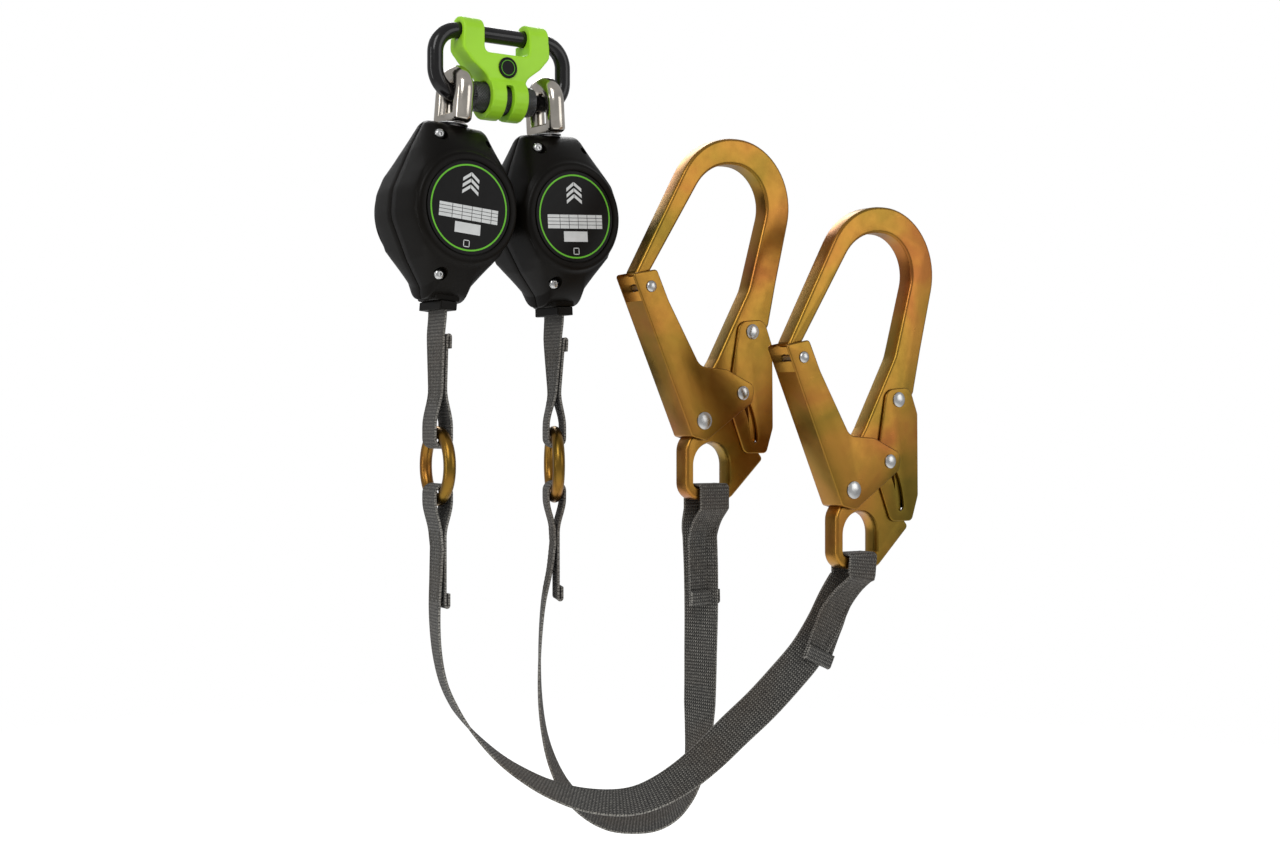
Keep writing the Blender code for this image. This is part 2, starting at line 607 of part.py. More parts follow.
def slot_outline(path, half_width):
    """A slot with round ends along an open path."""
    sides = ([], [])
    for i, point in enumerate(path):
        along = (Vector(path[min(i + 1, len(path) - 1)]) - Vector(path[max(i - 1, 0)])).normalized()
        for sign, points in zip((1, -1), sides):
            points.append((point[0] - sign * along.y * half_width,
                           point[1] + sign * along.x * half_width))
    ends = []
    for here, near in ((path[-1], path[-2]), (path[0], path[1])):
        angle = math.degrees(math.atan2(here[1] - near[1], here[0] - near[0]))
        ends.append(arc(here, half_width, angle + 90, angle - 90, 4)[1:-1])
    return sides[0] + ends[0] + list(reversed(sides[1])) + ends[1]


def drill(thing, pivot, radius, frame, origin=(0, 0, 0)):
    cut(thing, turned([(-30, radius), (30, radius)], "Y", (pivot[0], 0, pivot[1]), 12), frame, origin)


def rivet(name, look, frame, pivot, shank, head, reach, origin=(0, 0, 0)):
    """A rivet through both cheeks; reach is the distance from the middle to under its head."""
    profile = [(-reach - 1.9, head * 0.6), (-reach, head), (-reach, shank), (reach, shank),
               (reach, head), (reach + 1.9, head * 0.6)]
    place(name, *turned(profile, "Y", (pivot[0], 0, pivot[1]), 10), look["zinc_steel"], frame, origin)


def build_hook(name, look):
    frame = make_frame(name + "_hook_frame", HOOKS[name])
    steps = 8
    pin_path = [swing(GUIDE_PIN, GATE_PIVOT, GATE_SWING * k / steps) for k in range(-1, steps + 2)]
    slot_path = [swing(swing(GUIDE_PIN, GATE_PIVOT, GATE_SWING * k / steps), LEVER_PIVOT,
                       -LEVER_SWING * k / steps) for k in range(-1, steps + 2)]
    body = place(name + "_hook_body",
                 *plate(hook_outline(), -HOOK_HALF_DEPTH, HOOK_HALF_DEPTH, HOOK_CHAMFER),
                 look["gold_steel"], frame)
    eye_hole = [(-EYE_HALF, -EYE_FLOOR, 3), (EYE_HALF, -EYE_FLOOR, 3), (EYE_HALF, EYE_HALF, EYE_HALF),
                (-EYE_HALF, EYE_HALF, EYE_HALF)]
    cut(body, plate(rounded(eye_hole), -30, 30), frame)
    cut(body, plate(slot_outline(pin_path, GUIDE_PIN_R + GAP), -20, 20), frame)
    drill(body, GATE_PIVOT, 4.3, frame)
    drill(body, LEVER_PIVOT, 3.3, frame)

    pivot = (GATE_PIVOT[0], 0, GATE_PIVOT[1])
    cheeks = [(-70, 130, 2), (-50, 134, 3), (-40, 113, 4), (-13, 68.5, 10), (10, 67, 14), (35, 56, 6),
              (33, 44, 6), (-8, 17, 5), (-20, 20, 3)]
    gate = place(name + "_hook_gate", *plate(rounded(cheeks, 40), -CHEEK_Y[1], CHEEK_Y[1]),
                 look["gold_steel"], frame, pivot)
    inside = [(-68.2, 131), (-60, 160), (80, 160), (80, -20), (-19.5, -20), (-18.2, 21.5)]
    cut(gate, plate(inside, -CHEEK_Y[0], CHEEK_Y[0]), frame, pivot)
    nose_way = [(-90, 112), (-40, 112), (-40, 160), (-90, 160)]
    cut(gate, plate(nose_way, -CHEEK_Y[0], CHEEK_Y[0]), frame, pivot)
    drill(gate, GATE_PIVOT, 4.3, frame, pivot)
    drill(gate, GUIDE_PIN, GUIDE_PIN_R + GAP, frame, pivot)
    drill(gate, TIP_RIVET, 2.5 + GAP, frame, pivot)

    hinge = (LEVER_PIVOT[0], 0, LEVER_PIVOT[1])
    sides = [(23, 101, 8), (45, 103, 8), (52.5, 84, 6), (53, 26, 8), (47, 8, 4), (27, 8, 6),
             (14, 40, 14), (16, 62, 14)]
    lever = place(name + "_lock_lever", *plate(rounded(sides, 40), -LEVER_Y[1], LEVER_Y[1]),
                  look["gold_steel"], frame, hinge)
    hollow = [(51.2, 84), (51.6, 26), (45, -10), (-10, -10), (-10, 130), (60, 130), (60, 90)]
    cut(lever, plate(hollow, -LEVER_Y[0], LEVER_Y[0]), frame, hinge)
    cut(lever, plate(slot_outline(slot_path, GUIDE_PIN_R + GAP), -20, 20), frame, hinge)
    drill(lever, LEVER_PIVOT, 3.3, frame, hinge)

    rivet(name + "_gate_rivet", look, frame, GATE_PIVOT, 4.0, 6.2, CHEEK_Y[1] + GAP)
    rivet(name + "_guide_rivet", look, frame, GUIDE_PIN, GUIDE_PIN_R, 5.0, CHEEK_Y[1] + GAP, pivot)
    rivet(name + "_lever_rivet", look, frame, LEVER_PIVOT, 3.0, 5.4, LEVER_Y[1] + GAP)
    rivet(name + "_tip_rivet", look, frame, TIP_RIVET, 2.5, 4.0, CHEEK_Y[1] + GAP, pivot)


def main():
    for leftover in list(bpy.data.objects):
        bpy.data.objects.remove(leftover, do_unlink=True)
    look = make_materials()
    build_connector(look)
    build_bridge(look)
    for name, side, lean in UNITS:
        frame = make_frame(name + "_unit_frame", (side * EYE_X, 0, -BAR_SPACING), -side * lean)
        build_eye(name, look, frame)
        build_housing(name, look, frame)
        build_winder(name, look, frame)
        build_strap(name, look, lean, side)
        build_ring(name, look)
        build_leg(name, look)
    for name in HOOKS:
        build_hook(name, look)


main()
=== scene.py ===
"""Looks for the twin-leg self-retracting lanyard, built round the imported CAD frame.

Shapes are worked out in millimetres, in the frame's own axes: X along the connector's
bars, -Y faces the labels, Z up, with the origin in the middle of the connector's upper bar.
"""
import json
import math

import bpy
import bmesh
from mathutils import Matrix, Vector


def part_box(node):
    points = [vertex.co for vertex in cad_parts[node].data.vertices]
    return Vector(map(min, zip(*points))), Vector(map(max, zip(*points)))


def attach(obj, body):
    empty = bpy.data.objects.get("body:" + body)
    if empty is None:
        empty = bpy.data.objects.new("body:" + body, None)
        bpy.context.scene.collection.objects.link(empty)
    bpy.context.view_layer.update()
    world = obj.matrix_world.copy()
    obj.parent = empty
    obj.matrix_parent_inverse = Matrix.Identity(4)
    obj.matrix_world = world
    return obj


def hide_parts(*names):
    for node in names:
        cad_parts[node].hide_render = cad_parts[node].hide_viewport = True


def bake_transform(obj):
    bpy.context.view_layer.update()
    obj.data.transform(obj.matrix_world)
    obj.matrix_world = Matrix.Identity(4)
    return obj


MM = 0.001

# Connector
BAR_R = 5.5
BAR_SPACING = 44.0
LINK_HALF_WIDTH = 57.0
LINK_CORNER_R = 17.0
GATE_HALF_LENGTH = 29.3
SLEEVE_R = 10.5
SLEEVE_BORE_R = 5.6
SLEEVE_HALF_LENGTH = 24.5
SLEEVE_PLAIN = 2.2               # smooth band at each end of the sleeve
KNURL_PITCH = 2.1
KNURL_DEPTH = 0.5
BRIDGE_VOXEL = 0.6

# Self-retracting unit, measured from the connector's lower bar
EYE_X = 36.5
EYE_BAR_R = 6.7
EYE_ARCH_R = 13.2
EYE_ARCH_Z = -0.2
EYE_BASE_Z = (-21.0, -14.5)
LABEL_Z = -82.5
FACE_Y = 33.0
BOSS_R = 39.5
LABEL_R = 31.5
SHELL_HALF_WIDTH = 41.5
SHELL_DRAFT = 1.5
SHELL_STEP = 3.0
# The side wall's height falls with the distance from the label's centre, past WALL_FROM
WALL_HEIGHT = 24.0
WALL_FROM = 42.0
WALL_FALL = {"above": 0.65, "below": 0.42}
BROW_Y = 29.3
SHOULDER_START = 0.25            # share of the wall's height at which its rounding starts
SHOULDER_END = 0.88
SHOULDER_STEPS = 12
NECK_BORE_R = 5.6
SCREWS = ((-18.0, 49.0, 16.6), (-13.0, -46.0, 21.8))
SCREW_WELL_R = 4.5
DIMPLE = (18.5, 48.0, 15.5)
DIMPLE_R = 2.6
TABLE_HALF = (22.5, 4.8)         # printed table: half width and half height
TABLE_Z = -3.6
TABLE_ROWS = 4
TABLE_COLUMNS = 6
RING_PRINT = (2.2, 3.3)          # printed ring: its edges, in from the label's edge
CHEVRON_STEP = 4.2
COLLAR_HALF = (9.5, 14.5)        # stepped collar: half sizes along X and Y
COLLAR_Z = (-144.45, -136.0)
UNITS = (("left", -1, 5.0), ("right", 1, 3.0))

# Webbing and rings
WEB_WIDTH = 25.0
WEB_THICK = 2.0
LOOP_HALF = 5.9
LOOP_INSET = 4.6
RING_Z = -300.0
RING_R = 23.2
RING_BAR_R = 4.25
RING_X = {"left": -49.7, "right": 44.6}
RING_TURN = {"left": -8.0, "right": -24.0}
RIB_PITCH = 2.3
WARP_PITCH = 1.6
FOLD_R = 1.35                    # fold at the cut end of a sewn tail
FOLD_LENGTH = 8.0
STITCH_LENGTH = 2.4
STITCH_GAP = 0.9
STITCH_R = 0.36
STITCH_ROWS = (-9.6, -7.2, -2.4, 2.4, 7.2, 9.6)

# Straps: heights are Z, and a layer is half the distance between two sewn thicknesses
STRAP_EXIT = (112, 128, 144, 151)
STRAP_LAYER = 1.35
STRAP_DOWN = range(-198, -276, -4)
STRAP_UP = range(-274, -212, 4)
STRAP_FOLD_Z = -212
STRAP_SPREAD_Z = -247
STRAP_SEWN = 54                  # length of the sewn tail

# Legs
LEG_LAYER = 1.3
LEG_SPREAD = range(-348, -323, 3)
LEG_TAIL_Z = -396
LEG_SEWN_Z = -352

# Hooks, from the webbing eye's centre
HOOK_HALF_DEPTH = 7.0
HOOK_ROLL = 2.2
EYE_HALF = 15.5
EYE_FLOOR = 15.0
GATE_PIVOT = (-10.0, 31.0)
GUIDE_PIN = (24.0, 50.5)
LEVER_PIVOT = (34.0, 94.0)
TIP_RIVET = (-55.0, 122.0)
GATE_HOLE_R = 4.3
PIN_HOLE_R = 3.3
TIP_HOLE_R = 2.8
RIVET_GAP = 0.3
GATE_SWING = 45.0
LEVER_SWING = 6.0
LEVER_Y = (7.5, 9.1)
CHEEK_Y = (9.5, 11.0)
HOOKS = {"left": (118.0, -83.0, -300.0), "right": (203.0, -142.0, -348.0)}

LEG_ROUTES = {
    "left": [(-50, 0, -352), (-51, 0, -375), (-52, 0, -400), (-51, -1, -425), (-48, -4, -446),
             (-43, -9, -462), (-36, -16, -476), (-28, -24, -488), (-19, -33, -499), (-9, -42, -508),
             (4, -54, -517), (20, -66, -524), (37, -79, -527), (53, -89, -526), (68, -97, -520),
             (84, -104, -510), (100, -110, -497), (117, -116, -481), (136, -121, -465),
             (153, -126, -448), (170, -129, -431), (184, -130, -413), (194, -131, -396)],
    "right": [(44, 0, -352), (42, 2, -375), (39, 6, -400), (38, 9, -434), (39, 10, -469),
              (43, 9, -498), (50, 6, -521), (59, 1, -538), (70, -7, -550), (83, -16, -557),
              (96, -27, -558), (108, -38, -555), (117, -48, -546), (122, -56, -532),
              (124, -62, -512), (124, -66, -488), (123, -69, -460), (122, -71, -431),
              (121, -73, -403), (120, -74, -374), (119, -74, -350)],
}
HOOK_TAILS = {
    "right": [(-1.5, -9.6, -30), (-6, 0, -40), (-11, 6.6, -52), (-17.5, 8.0, -66), (-27, 9.5, -88)],
    "left": [(0, -9.5, -30), (0.3, 0, -40), (0.6, 5.3, -52), (1, 5.7, -66), (2, 6.0, -96)],
}
LEG_TURNS = {
    "left": [(0.0, 0.0), (0.25, 12.0), (0.5, 60.0), (0.75, 100.0), (1.0, 118.0)],
    "right": [(0.0, 0.0), (0.3, 12.0), (0.6, 42.0), (0.75, 86.0), (1.0, 102.0)],
}

CAMERA = (-634.0, -1076.0, -273.0)
CAMERA_AZIMUTH = 35.0
FLOOR_Z = -640.0
FLOOR_HALF = 6000.0
FLOOR_FADE = (0.65, 1.3)         # metres from the origin
ROOM_LIGHT = 0.46


# ---------------------------------------------------------------- materials

class Look:
    """A Principled material, with helpers that add its procedural nodes."""

    def __init__(self, name, colour, metallic=0.0, roughness=0.5, **sockets):
        self.material = bpy.data.materials.new(name)
        self.material.use_nodes = True
        self.nodes = self.material.node_tree.nodes
        self.links = self.material.node_tree.links
        self.shader = self.nodes["Principled BSDF"]
        self.shader.inputs["Base Color"].default_value = (*colour, 1.0)
        self.shader.inputs["Metallic"].default_value = metallic
        self.shader.inputs["Roughness"].default_value = roughness
        for socket, value in sockets.items():
            self.shader.inputs[socket.replace("_", " ")].default_value = value
        self.height = None

    def node(self, kind, **values):
        made = self.nodes.new(kind)
        for name, value in values.items():
            if name in made.inputs:
                made.inputs[name].default_value = value
            else:
                setattr(made, name, value)
        return made

    def coordinates(self, output="Object"):
        return self.node("ShaderNodeTexCoord").outputs[output]

    def noise(self, scale, detail=3.0, distortion=0.0, stretch=None):
        """Noise at a number of cells per metre."""
        source = self.coordinates()
        if stretch:
            mapping = self.node("ShaderNodeMapping")
            mapping.inputs["Scale"].default_value = stretch
            self.links.new(source, mapping.inputs["Vector"])
            source = mapping.outputs["Vector"]
        noise = self.node("ShaderNodeTexNoise", Scale=scale, Detail=detail, Distortion=distortion)
        self.links.new(source, noise.inputs["Vector"])
        return noise.outputs["Fac"]

    def ramp(self, factor, stops):
        ramp = self.node("ShaderNodeValToRGB")
        elements = ramp.color_ramp.elements
        while len(elements) < len(stops):
            elements.new(0.5)
        for element, (place, colour) in zip(elements, stops):
            element.position = place
            element.color = (*colour, 1.0)
        self.links.new(factor, ramp.inputs["Fac"])
        return ramp.outputs["Color"]

    def colour(self, factor, stops):
        self.links.new(self.ramp(factor, stops), self.shader.inputs["Base Color"])

    def rough(self, factor, low, high):
        span = self.node("ShaderNodeMapRange")
        span.inputs["To Min"].default_value = low
        span.inputs["To Max"].default_value = high
        self.links.new(factor, span.inputs["Value"])
        self.links.new(span.outputs["Result"], self.shader.inputs["Roughness"])

    def math(self, operation, a, b=None):
        made = self.node("ShaderNodeMath", operation=operation)
        for socket, value in zip(made.inputs, (a, b)):
            if isinstance(value, (int, float)):
                socket.default_value = value
            elif value:
                self.links.new(value, socket)
        return made.outputs[0]

    def bump(self, height, millimetres, strength=1.0):
        """Adds a height from 0 to 1; bumps stack in the order they are added."""
        bump = self.node("ShaderNodeBump", Strength=strength, Distance=millimetres * MM)
        self.links.new(height, bump.inputs["Height"])
        if self.height:
            self.links.new(self.height, bump.inputs["Normal"])
        self.height = bump.outputs["Normal"]
        self.links.new(self.height, self.shader.inputs["Normal"])


def axes_of(look, output="Object"):
    split = look.node("ShaderNodeSeparateXYZ")
    look.links.new(look.coordinates(output), split.inputs["Vector"])
    return split.outputs


def ridges(look, value, pitch, sharpness=1.0):
    """A 0 to 1 wave of this pitch, in millimetres, along a coordinate in metres."""
    turn = look.math("MULTIPLY", value, 2 * math.pi / (pitch * MM))
    wave = look.math("MULTIPLY_ADD", look.math("SINE", turn), 0.5)
    wave.node.inputs[2].default_value = 0.5
    return look.math("POWER", wave, sharpness) if sharpness != 1.0 else wave


def webbing_look(name, dark, light, warm):
    look = Look(name, dark, 0.0, 0.85, Sheen_Weight=0.1, Sheen_Roughness=0.6,
                Specular_IOR_Level=0.2)
    across, along, _ = axes_of(look, "UV")
    ribs = ridges(look, along, RIB_PITCH)
    warp = ridges(look, across, WARP_PITCH)
    # Each yarn crosses over and under, so the ribs shift by half a pitch from yarn to yarn
    shifted = ridges(look, look.math("ADD", along, look.math("MULTIPLY", warp, RIB_PITCH / 2 * MM)),
                     RIB_PITCH)
    weave = look.math("MULTIPLY", look.math("ADD", shifted, 0.35), look.math("ADD", warp, 0.9))
    fuzz = look.noise(900, 4.0)
    worn = look.noise(14, 3.0, 0.5)
    # The ribs' crests are painted lighter as painted highlight, and the gaps between them darker as
    # painted shade. Lighter dots also run along the selvedges.
    lit = look.math("MULTIPLY", weave, 0.39)
    selvedge = look.math("GREATER_THAN", look.math("ABSOLUTE", across),
                         (WEB_WIDTH / 2 - 0.8) * MM)
    dots = look.math("MULTIPLY", selvedge, ridges(look, along, RIB_PITCH * 0.7))
    rib_shading_and_edge_dots = look.ramp(look.math("ADD", lit, look.math("MULTIPLY", dots, 0.7)),
                        [(0.2, dark), (0.6, tuple(c * 0.42 for c in light)), (1.0, light)])
    patches = look.ramp(worn, [(0.42, (0.0, 0.0, 0.0)), (0.72, (0.55, 0.55, 0.55))])
    mix = look.node("ShaderNodeMix", data_type="RGBA")
    look.links.new(patches, mix.inputs["Factor"])
    look.links.new(rib_shading_and_edge_dots, mix.inputs["A"])
    mix.inputs["B"].default_value = (*warm, 1.0)
    tint = look.node("ShaderNodeMix", data_type="RGBA", blend_type="MULTIPLY")
    tint.inputs["Factor"].default_value = 1.0
    look.links.new(mix.outputs["Result"], tint.inputs["A"])
    flecks = look.ramp(fuzz, [(0.35, (0.35, 0.35, 0.36)), (0.65, (1.0, 1.0, 1.0))])
    look.links.new(flecks, tint.inputs["B"])
    look.links.new(tint.outputs["Result"], look.shader.inputs["Base Color"])
    look.bump(ribs, 0.35, 0.8)
    look.bump(weave, 0.25, 0.9)
    look.bump(fuzz, 0.1, 0.5)
    return look.material


def gold_look(name, shade):
    """Yellow dichromate over zinc: gold that drifts to green, orange and red."""
    def tone(r, g, b):
        return (0.88 * r * shade, 0.74 * g * shade, 0.7 * b * shade)
    look = Look(name, (0.5, 0.3, 0.05), 1.0, 0.3)
    drift = look.noise(13, 3.0, 0.5)
    look.colour(drift, [(0.32, tone(0.27, 0.22, 0.035)), (0.42, tone(0.40, 0.27, 0.045)),
                        (0.52, tone(0.50, 0.29, 0.055)), (0.62, tone(0.46, 0.21, 0.05)),
                        (0.74, tone(0.38, 0.14, 0.05))])
    look.rough(look.noise(160, 4.0), 0.22, 0.42)
    look.bump(look.noise(900, 4.0), 0.06, 0.5)
    look.bump(look.noise(90, 2.0), 0.25, 0.25)
    return look.material


def steel_look(name, colour, roughness, grain):
    look = Look(name, colour, 1.0, roughness)
    dark = tuple(c * 0.7 for c in colour)
    look.colour(look.noise(60, 4.0, 0.6), [(0.3, dark), (0.65, colour)])
    look.rough(look.noise(220, 5.0), roughness * 0.7, roughness * 1.5)
    look.bump(look.noise(700, 3.0, 0.0, (1.0, 1.0, 0.08)), 0.05, grain)
    return look.material


def plastic_look(name, colour, roughness, grain_scale, grain_depth, spread=0.25,
                 specular=0.35):
    look = Look(name, colour, 0.0, roughness, Specular_IOR_Level=specular)
    low = tuple(c * (1 - spread) for c in colour)
    high = tuple(min(1.0, c * (1 + spread)) for c in colour)
    look.colour(look.noise(26, 3.0, 0.3), [(0.3, low), (0.7, high)])
    look.rough(look.noise(180, 4.0), roughness * 0.85, roughness * 1.15)
    look.bump(look.noise(grain_scale, 3.0), grain_depth, 0.6)
    look.bump(look.noise(40, 2.0), 0.3, 0.1)
    return look.material


def black_steel_look():
    look = Look("black_steel", (0.008, 0.008, 0.009), 0.0, 0.16, Specular_IOR_Level=0.3,
                Coat_Weight=0.15, Coat_Roughness=0.06)
    look.colour(look.noise(70, 4.0),
                [(0.3, (0.005, 0.005, 0.005)), (0.75, (0.012, 0.011, 0.011))])
    look.rough(look.noise(240, 5.0), 0.1, 0.26)
    look.bump(look.noise(420, 2.0), 0.08, 0.3)
    return look.material


def knurl_count():
    return round(2 * math.pi * SLEEVE_R / KNURL_PITCH)


def knurl_look():
    """Crosshatched steel: two families of grooves wound opposite ways round the sleeve."""
    look = Look("knurled_steel", (0.014, 0.014, 0.015), 0.0, 0.3, Coat_Weight=0.4,
                Coat_Roughness=0.2)
    x, y, z = axes_of(look)
    lifted = look.math("ADD", z, BAR_SPACING * MM)
    around = look.math("MULTIPLY", look.math("ARCTAN2", y, lifted), SLEEVE_R * MM)
    # A whole number of grooves round the sleeve keeps the pattern unbroken at its seam
    pitch = 2 * math.pi * SLEEVE_R / knurl_count()
    one = ridges(look, look.math("ADD", around, x), pitch, 1.6)
    other = ridges(look, look.math("SUBTRACT", around, x), pitch, 1.6)
    peaks = look.math("MULTIPLY", one, other)
    # The peaks are painted light grey as painted glints. The grooves between them keep the near-black
    # of the steel.
    look.colour(peaks, [(0.25, (0.006, 0.006, 0.006)), (0.9, (0.30, 0.30, 0.31))])
    look.rough(look.noise(300, 4.0), 0.22, 0.42)
    look.bump(peaks, 0.5, 1.0)
    return look.material


def print_look(name, colour, roughness=0.4):
    look = Look(name, colour, 0.0, roughness, Specular_IOR_Level=0.13)
    dim = tuple(c * 0.86 for c in colour)
    look.colour(look.noise(120, 4.0), [(0.3, dim), (0.7, colour)])
    look.rough(look.noise(300, 3.0), roughness * 0.8, roughness * 1.2)
    look.bump(look.noise(1800, 2.0), 0.03, 0.4)
    return look.material


def make_looks():
    return {
        "black_steel": black_steel_look(),
        "knurl": knurl_look(),
        "green": plastic_look("green_plastic", (0.38, 0.76, 0.028), 0.38, 1300, 0.05, 0.1),
        "stainless": steel_look("stainless", (0.62, 0.57, 0.50), 0.15, 0.3),
        "plastic": plastic_look("black_plastic", (0.0045, 0.0036, 0.0026), 0.36, 1500, 0.12,
                                specular=0.1),
        "print_black": print_look("print_black", (0.0045, 0.0042, 0.004), 0.35),
        "print_green": print_look("print_green", (0.16, 0.55, 0.04)),
        "print_white": print_look("print_white", (0.72, 0.73, 0.72)),
        "gold": gold_look("gold_zinc", 0.88),
        "gold_sheet": gold_look("gold_sheet", 0.76),
        "gold_ring": gold_look("gold_ring", 0.66),
        "web": webbing_look("webbing", (0.010, 0.0098, 0.0095), (0.34, 0.325, 0.29),
                            (0.10, 0.07, 0.045)),
        "thread": print_look("thread", (0.10, 0.093, 0.082), 0.8),
        "zinc": steel_look("zinc_steel", (0.62, 0.62, 0.61), 0.26, 0.2),
        "spring": steel_look("spring_steel", (0.25, 0.27, 0.33), 0.3, 0.2),
    }


# ---------------------------------------------------------------- mesh helpers

def place(name, shape, material, body=None, matrix=None, sharp=32.0, slot=None):
    """Make one piece from (points, faces) in millimetres, put where matrix says."""
    points, faces = shape
    matrix = matrix or Matrix.Identity(4)
    mesh = bpy.data.meshes.new(name)
    mesh.from_pydata([(matrix @ Vector(p)) * MM for p in points], [], faces)
    shell = bmesh.new()
    shell.from_mesh(mesh)
    bmesh.ops.recalc_face_normals(shell, faces=shell.faces)
    shell.to_mesh(mesh)
    shell.free()
    finish_shading(mesh, sharp)
    thing = bpy.data.objects.new(name, mesh)
    bpy.context.collection.objects.link(thing)
    if material:
        mesh.materials.append(material)
    if body:
        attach(thing, body)
    return thing


def finish_shading(mesh, sharp):
    mesh.shade_smooth()
    mesh.set_sharp_from_angle(angle=math.radians(sharp))


def spokes(count, turned_by=0.0):
    """Angles that divide a full turn, in radians."""
    return [2 * math.pi * (k + turned_by) / count for k in range(count)]


def run_of(path):
    """The length of a path."""
    return sum((b - a).length for a, b in zip(path, path[1:]))


def joined(*shapes):
    points, faces = [], []
    for some_points, some_faces in shapes:
        base = len(points)
        points += list(some_points)
        faces += [tuple(i + base for i in face) for face in some_faces]
    return points, faces


def loft(rings, closed=False):
    size = len(rings[0])
    points = [p for ring in rings for p in ring]
    faces = []
    for i in range(len(rings) if closed else len(rings) - 1):
        a, b = i * size, ((i + 1) % len(rings)) * size
        faces += [(a + j, a + (j + 1) % size, b + (j + 1) % size, b + j) for j in range(size)]
    if not closed:
        faces += [tuple(reversed(range(size))), tuple(range(len(points) - size, len(points)))]
    return points, faces


def rounded(corners, arc_step=7.0):
    """A closed outline from (a, b, radius) corners, each drawn as an arc in steps of degrees."""
    outline = []
    for i, (a, b, radius) in enumerate(corners):
        here = Vector((a, b))
        before = (Vector(corners[i - 1][:2]) - here).normalized()
        after = (Vector(corners[(i + 1) % len(corners)][:2]) - here).normalized()
        turn = math.pi - before.angle(after)
        if radius <= 0 or turn < 0.02:
            outline.append((a, b))
            continue
        start = here + before * radius * math.tan(turn / 2)
        centre = here + (before + after).normalized() * (radius / math.cos(turn / 2))
        side = 1 if before.x * after.y - before.y * after.x < 0 else -1
        steps = max(1, math.ceil(math.degrees(turn) / arc_step))
        spoke = start - centre
        for k in range(steps + 1):
            angle = side * turn * k / steps
            outline.append((centre.x + spoke.x * math.cos(angle) - spoke.y * math.sin(angle),
                            centre.y + spoke.x * math.sin(angle) + spoke.y * math.cos(angle)))
    return outline


def inset(outline, depth):
    """An outline moved inwards, or outwards if depth is negative."""
    if not depth:
        return outline
    area = sum(a[0] * b[1] - b[0] * a[1] for a, b in zip(outline, outline[1:] + outline[:1]))
    sign = 1 if area > 0 else -1
    moved = []
    for i, (x, z) in enumerate(outline):
        before = (Vector((x, z)) - Vector(outline[i - 1])).normalized()
        after = (Vector(outline[(i + 1) % len(outline)]) - Vector((x, z))).normalized()
        along = (before + after).normalized()
        stretch = max(0.5, along.dot(after))
        moved.append((x - along.y * sign * depth / stretch,
                      z + along.x * sign * depth / stretch))
    return moved


def plate(outline, y_low, y_high, roll=0.0, steps=4):
    """Extrude an XZ outline along Y, with rims rolled to a radius."""
    levels = [(y_low, 0.0), (y_high, 0.0)]
    if roll > 0:
        bend = [math.pi / 2 * k / steps for k in range(steps + 1)]
        levels = [(y_low + roll * (1 - math.sin(t)), roll * (1 - math.cos(t)))
                  for t in reversed(bend)]
        levels += [(y_high - roll * (1 - math.sin(t)), roll * (1 - math.cos(t))) for t in bend]
    return loft([[(x, y, z) for x, z in inset(outline, depth)] for y, depth in levels])


def turned(profile, axis, centre=(0, 0, 0), steps=48, closed=False):
    """Turn a (distance along axis, radius) profile round X, Y or Z."""
    main = {"X": Vector((1, 0, 0)), "Y": Vector((0, 1, 0)), "Z": Vector((0, 0, 1))}[axis]
    side = main.orthogonal().normalized()
    other = main.cross(side)
    rings = [[Vector(centre) + main * along + radius * (side * math.cos(t) + other * math.sin(t))
              for t in spokes(steps)] for along, radius in profile]
    return loft(rings, closed)


def tube(path, normal, radius, sides=24, closed=False):
    """A round bar along a flat path; radius is a number, or a list with one for each point."""
    across = Vector(normal).normalized()
    rings = []
    for i, point in enumerate(path):
        ahead = Vector(path[(i + 1) % len(path)]) if closed or i + 1 < len(path) else Vector(point)
        behind = Vector(path[i - 1]) if closed or i else Vector(point)
        out = (ahead - behind).normalized().cross(across)
        here = radius[i] if isinstance(radius, list) else radius
        rings.append([Vector(point) + here * (out * math.cos(t) + across * math.sin(t))
                      for t in spokes(sides, 0.5)])
    return loft(rings, closed)


def box(low, high):
    (x0, y0, z0), (x1, y1, z1) = low, high
    return loft([[(x0, y0, z), (x1, y0, z), (x1, y1, z), (x0, y1, z)] for z in (z0, z1)])


def arc(centre, radius, start, end, steps):
    return [(centre[0] + radius * math.cos(math.radians(start + (end - start) * k / steps)),
             centre[1] + radius * math.sin(math.radians(start + (end - start) * k / steps)))
            for k in range(steps + 1)]


def carve(thing, shapes, matrix=None, sharp=32.0, operation="DIFFERENCE"):
    """Cut closed shapes out of a piece, and keep the result as its mesh."""
    cutters = []
    for shape in shapes:
        cutter = place(thing.name + "_cutter", shape, None, None, matrix)
        modifier = thing.modifiers.new("carve", "BOOLEAN")
        modifier.operation = operation
        modifier.solver = "EXACT"
        modifier.object = cutter
        cutters.append(cutter)
    bpy.context.view_layer.update()
    final = thing.evaluated_get(bpy.context.evaluated_depsgraph_get())
    mesh = bpy.data.meshes.new_from_object(final)
    thing.modifiers.clear()
    thing.data = mesh
    for cutter in cutters:
        bpy.data.objects.remove(cutter, do_unlink=True)
    finish_shading(mesh, sharp)


def soften(thing, width):
    """Round a piece's sharp edges to a radius, in millimetres."""
    weld = thing.modifiers.new("weld", "WELD")
    weld.merge_threshold = 0.01 * MM
    flat = thing.modifiers.new("flat", "DECIMATE")
    flat.decimate_type = "DISSOLVE"
    flat.angle_limit = math.radians(1.0)
    bevel = thing.modifiers.new("bevel", "BEVEL")
    bevel.width = width * MM
    bevel.segments = 3
    bevel.limit_method = "ANGLE"
    bevel.angle_limit = math.radians(30.0)
    bevel.harden_normals = True


